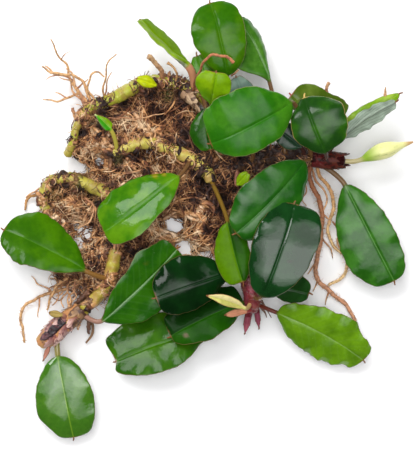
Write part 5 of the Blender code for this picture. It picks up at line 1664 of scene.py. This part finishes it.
def fibre_routes(dice, layer):
    """Paths that keep to the mat or the stems, and clear of the gaps. At the rim they run along it."""
    x, y = fibre_starts(dice, layer)
    direction = dice.uniform(0, 2 * math.pi, len(x))
    if layer["rim"]:
        uphill_x = mound_share(x - 0.3, y) - mound_share(x + 0.3, y)
        uphill_y = mound_share(x, y - 0.3) - mound_share(x, y + 0.3)
        direction = np.arctan2(uphill_x, -uphill_y) + dice.normal(0, 0.3, len(x))
    path_x, path_y = wander(dice, layer, x, y, direction)
    inside = (mound_share(path_x, path_y) < layer["reach"]).mean(axis=1) > 0.85
    if layer["on_stems"]:
        inside |= (stem_top(path_x, path_y) > 0).mean(axis=1) > 0.5
        clean = patches(path_x, path_y, CLEAN_STEM_SPOTS).mean(axis=1)
        inside &= clean < dice.uniform(0.05, 1.0, len(x))
    allowed = dice.choice((0.0, 0.0, 0.0, layer["crossing"]), len(x))
    clear = in_gap(path_x, path_y).mean(axis=1) <= allowed
    if layer["lift"][1] > -1:
        clear &= in_gap(path_x, path_y, gaps=HOLES_PX).mean(axis=1) < 0.12
    chosen = np.flatnonzero(inside & clear)[:layer["count"]]
    return path_x[chosen], path_y[chosen]


# %% How high fibres lie
def fibre_paths(dice, layer):
    """Places along each fibre, and its half width there."""
    path_x, path_y = fibre_routes(dice, layer)
    each, steps = (len(path_x), 1), layer["steps"]
    surface = mound_height(path_x, path_y)
    level = surface.mean(axis=1, keepdims=True)
    if layer["on_stems"]:
        surface = np.maximum(surface, stem_top(path_x, path_y))
        level = surface.max(axis=1, keepdims=True)
    surface = np.clip(surface, level - STIFFNESS_MM, level + STIFFNESS_MM)
    loops = np.sin(np.linspace(0, math.pi, steps)) * dice.uniform(0.0, layer["loop"], each)
    half_width = dice.uniform(*layer["thick"], each) * np.linspace(1, 0.55, steps)
    if layer["flatness"] > 1:
        half_width = half_width * np.sqrt(np.sin(np.linspace(0.12, math.pi - 0.12, steps)))
    path_z = surface + dice.uniform(*layer["lift"], each) + loops
    path_z = path_z + dice.normal(0, 0.12 / layer["flatness"], path_x.shape)
    if layer["rim"]:
        slant = np.linspace(-0.7, 0.7, steps) * dice.normal(0, 1, each)
        path_z = slant + dice.uniform(*layer["lift"], each)
    else:
        path_z[:, 1:-1] = (path_z[:, :-2] + path_z[:, 1:-1] + path_z[:, 2:]) / 3
    path_z = np.maximum(path_z, half_width + ON_TABLE_MM)
    return np.stack((path_x, path_y, path_z), axis=-1), half_width


# %% One layer of the felt
def felt(name, layer):
    """A layer of fibres, or of flat flakes, over the mound or over the stems, as one joined mesh."""
    dice = np.random.default_rng(layer["seed"])
    paths, half_width = fibre_paths(dice, layer)
    x, y = paths[..., 0], paths[..., 1]
    each, sides = (len(paths), 1), layer["sides"]
    angle = np.linspace(0, 2 * math.pi, sides, endpoint=False)
    section = 1 / np.sqrt(np.cos(angle) ** 2 + (layer["flatness"] * np.sin(angle)) ** 2)
    rings = pipe_rings(paths, half_width[..., None] * section, sides)
    tone = 0.51 + layer["tone"] + dice.normal(0, layer["spread"], each) + dice.normal(0, 0.04, x.shape)
    # The dark spots darken the tone for litter and as painted shade; the tan spots lighten it.
    tone = tone - 0.66 * patches(x, y, DARK_LITTER_AND_SHADE_SPOTS) + 0.44 * patches(x, y, TAN_SPOTS)
    tone = tone + 0.18 * clumps(x, y, 4.0, 8) + 0.13 * clumps(x, y, 1.6, 9)
    moss = patches(x, y, MOSS_SPOTS) * dice.uniform(0, 1, each)
    traits = {"tone": np.clip(tone, 0, 1)[..., None], "moss": moss[..., None]}
    finish = felt_finish(name + "_finish", layer["wet"], layer["palest"])
    piece = mesh_piece(name, rings, ring_faces(layer["steps"], sides, len(paths)), finish, traits)
    belongs(piece, "root_mat")
    print(name, len(paths), "pieces,", len(piece.data.polygons), "faces")


# %% [markdown]
# ## The layers of the felt
#
# Coarse fibres lie deep and fine ones on top, with crumbs of litter between them. Fibres run along
# the rim, and strings and hairs stick out of it at named spots. Scraps and flat flakes of bark lie
# on the stems and in the felt, and pale films of old root skin lie where fewer fibres are.
#
# For each layer, `lift` is how far it lies off the surface, `thick` its half width and `length` its
# length, all as lowest and highest. A `flatness` of 4 makes flakes a quarter as thick as they are
# wide. `reach` over 1 lets ends stick out of the mat's outline. A `webbed` layer leaves out the
# places of the films, and `spots` are the only places where a layer grows.

# %% Lay the felt
FELT_LAYERS = {
    "felt_under": dict(
        seed=11, count=640, lift=(-5.6, -3.0), thick=(0.16, 0.30), length=(6.0, 14.0), reach=1.03),
    "felt_body": dict(
        seed=12, count=2300, lift=(-2.6, -0.6), thick=(0.13, 0.28), length=(5.0, 12.0), tone=-0.12,
        bend=0.22, webbed=True),
    "felt_top": dict(
        seed=13, count=2300, lift=(-0.9, 0.4), thick=(0.08, 0.19), length=(3.0, 9.0), tone=0.06,
        spread=0.24, bend=0.24, webbed=True, crossing=0.35),
    "felt_thick": dict(
        seed=15, count=190, lift=(-0.6, 0.4), thick=(0.26, 0.42), length=(6.0, 14.0), tone=0.06,
        sides=5, steps=12, spread=0.16, bend=0.12),
    "felt_loose": dict(
        seed=14, count=240, lift=(0.0, 0.8), thick=(0.08, 0.16), length=(5.0, 11.0), tone=0.18,
        reach=1.1, loop=1.6, bend=0.2, crossing=0.5),
    "felt_crumbs": dict(
        seed=18, count=2600, lift=(-0.4, 0.5), thick=(0.1, 0.28), length=(0.6, 2.0), tone=-0.08,
        steps=4, spread=0.22, loop=0.3, webbed=True),
    "felt_rim": dict(
        seed=19, count=1500, lift=(0.3, 5.8), thick=(0.10, 0.26), length=(4.0, 10.0), reach=1.06,
        spread=0.22, bend=0.12, rim=True),
    "felt_strings": dict(
        seed=24, count=70, lift=(-3.6, -0.6), thick=(0.14, 0.3), length=(7.0, 15.0), tone=-0.02,
        reach=1.3, spots=STRING_SPOTS, steps=14, sides=5),
    "edge_hairs": dict(
        seed=17, count=240, lift=(-2.5, 0.3), thick=(0.07, 0.15), length=(4.0, 10.0), tone=0.05,
        reach=1.2, spots=EDGE_SPOTS, bend=0.2),
    "stem_scraps": dict(
        seed=16, count=560, lift=(0.0, 0.35), thick=(0.1, 0.24), length=(3.0, 8.0), tone=-0.04,
        on_stems=True, spread=0.24, loop=0.4),
    "bark_on_stems": dict(
        seed=21, count=460, lift=(-0.25, 0.15), thick=(0.5, 1.4), length=(1.8, 4.6), tone=-0.24,
        steps=6, sides=6, wet=0.3, flatness=4.5, on_stems=True, spread=0.12, loop=0.2, bend=0.12),
    "bark_in_felt": dict(
        seed=22, count=560, lift=(-0.7, 0.5), thick=(0.4, 1.0), length=(1.4, 3.6), tone=-0.16,
        steps=6, sides=6, wet=0.3, flatness=4.0, spread=0.2, loop=0.3, bend=0.15),
    "pale_films": dict(
        seed=23, count=380, lift=(-0.7, 0.2), thick=(0.45, 1.5), length=(4.0, 10.0), tone=0.16,
        steps=8, sides=8, wet=0.1, flatness=10.0, spots=FILM_SPOTS, spread=0.14, loop=0.5,
        bend=0.14, palest=(238, 206, 170)),
}
for name, layer in FELT_LAYERS.items():
    felt(name, {**FELT_USUAL, **layer})
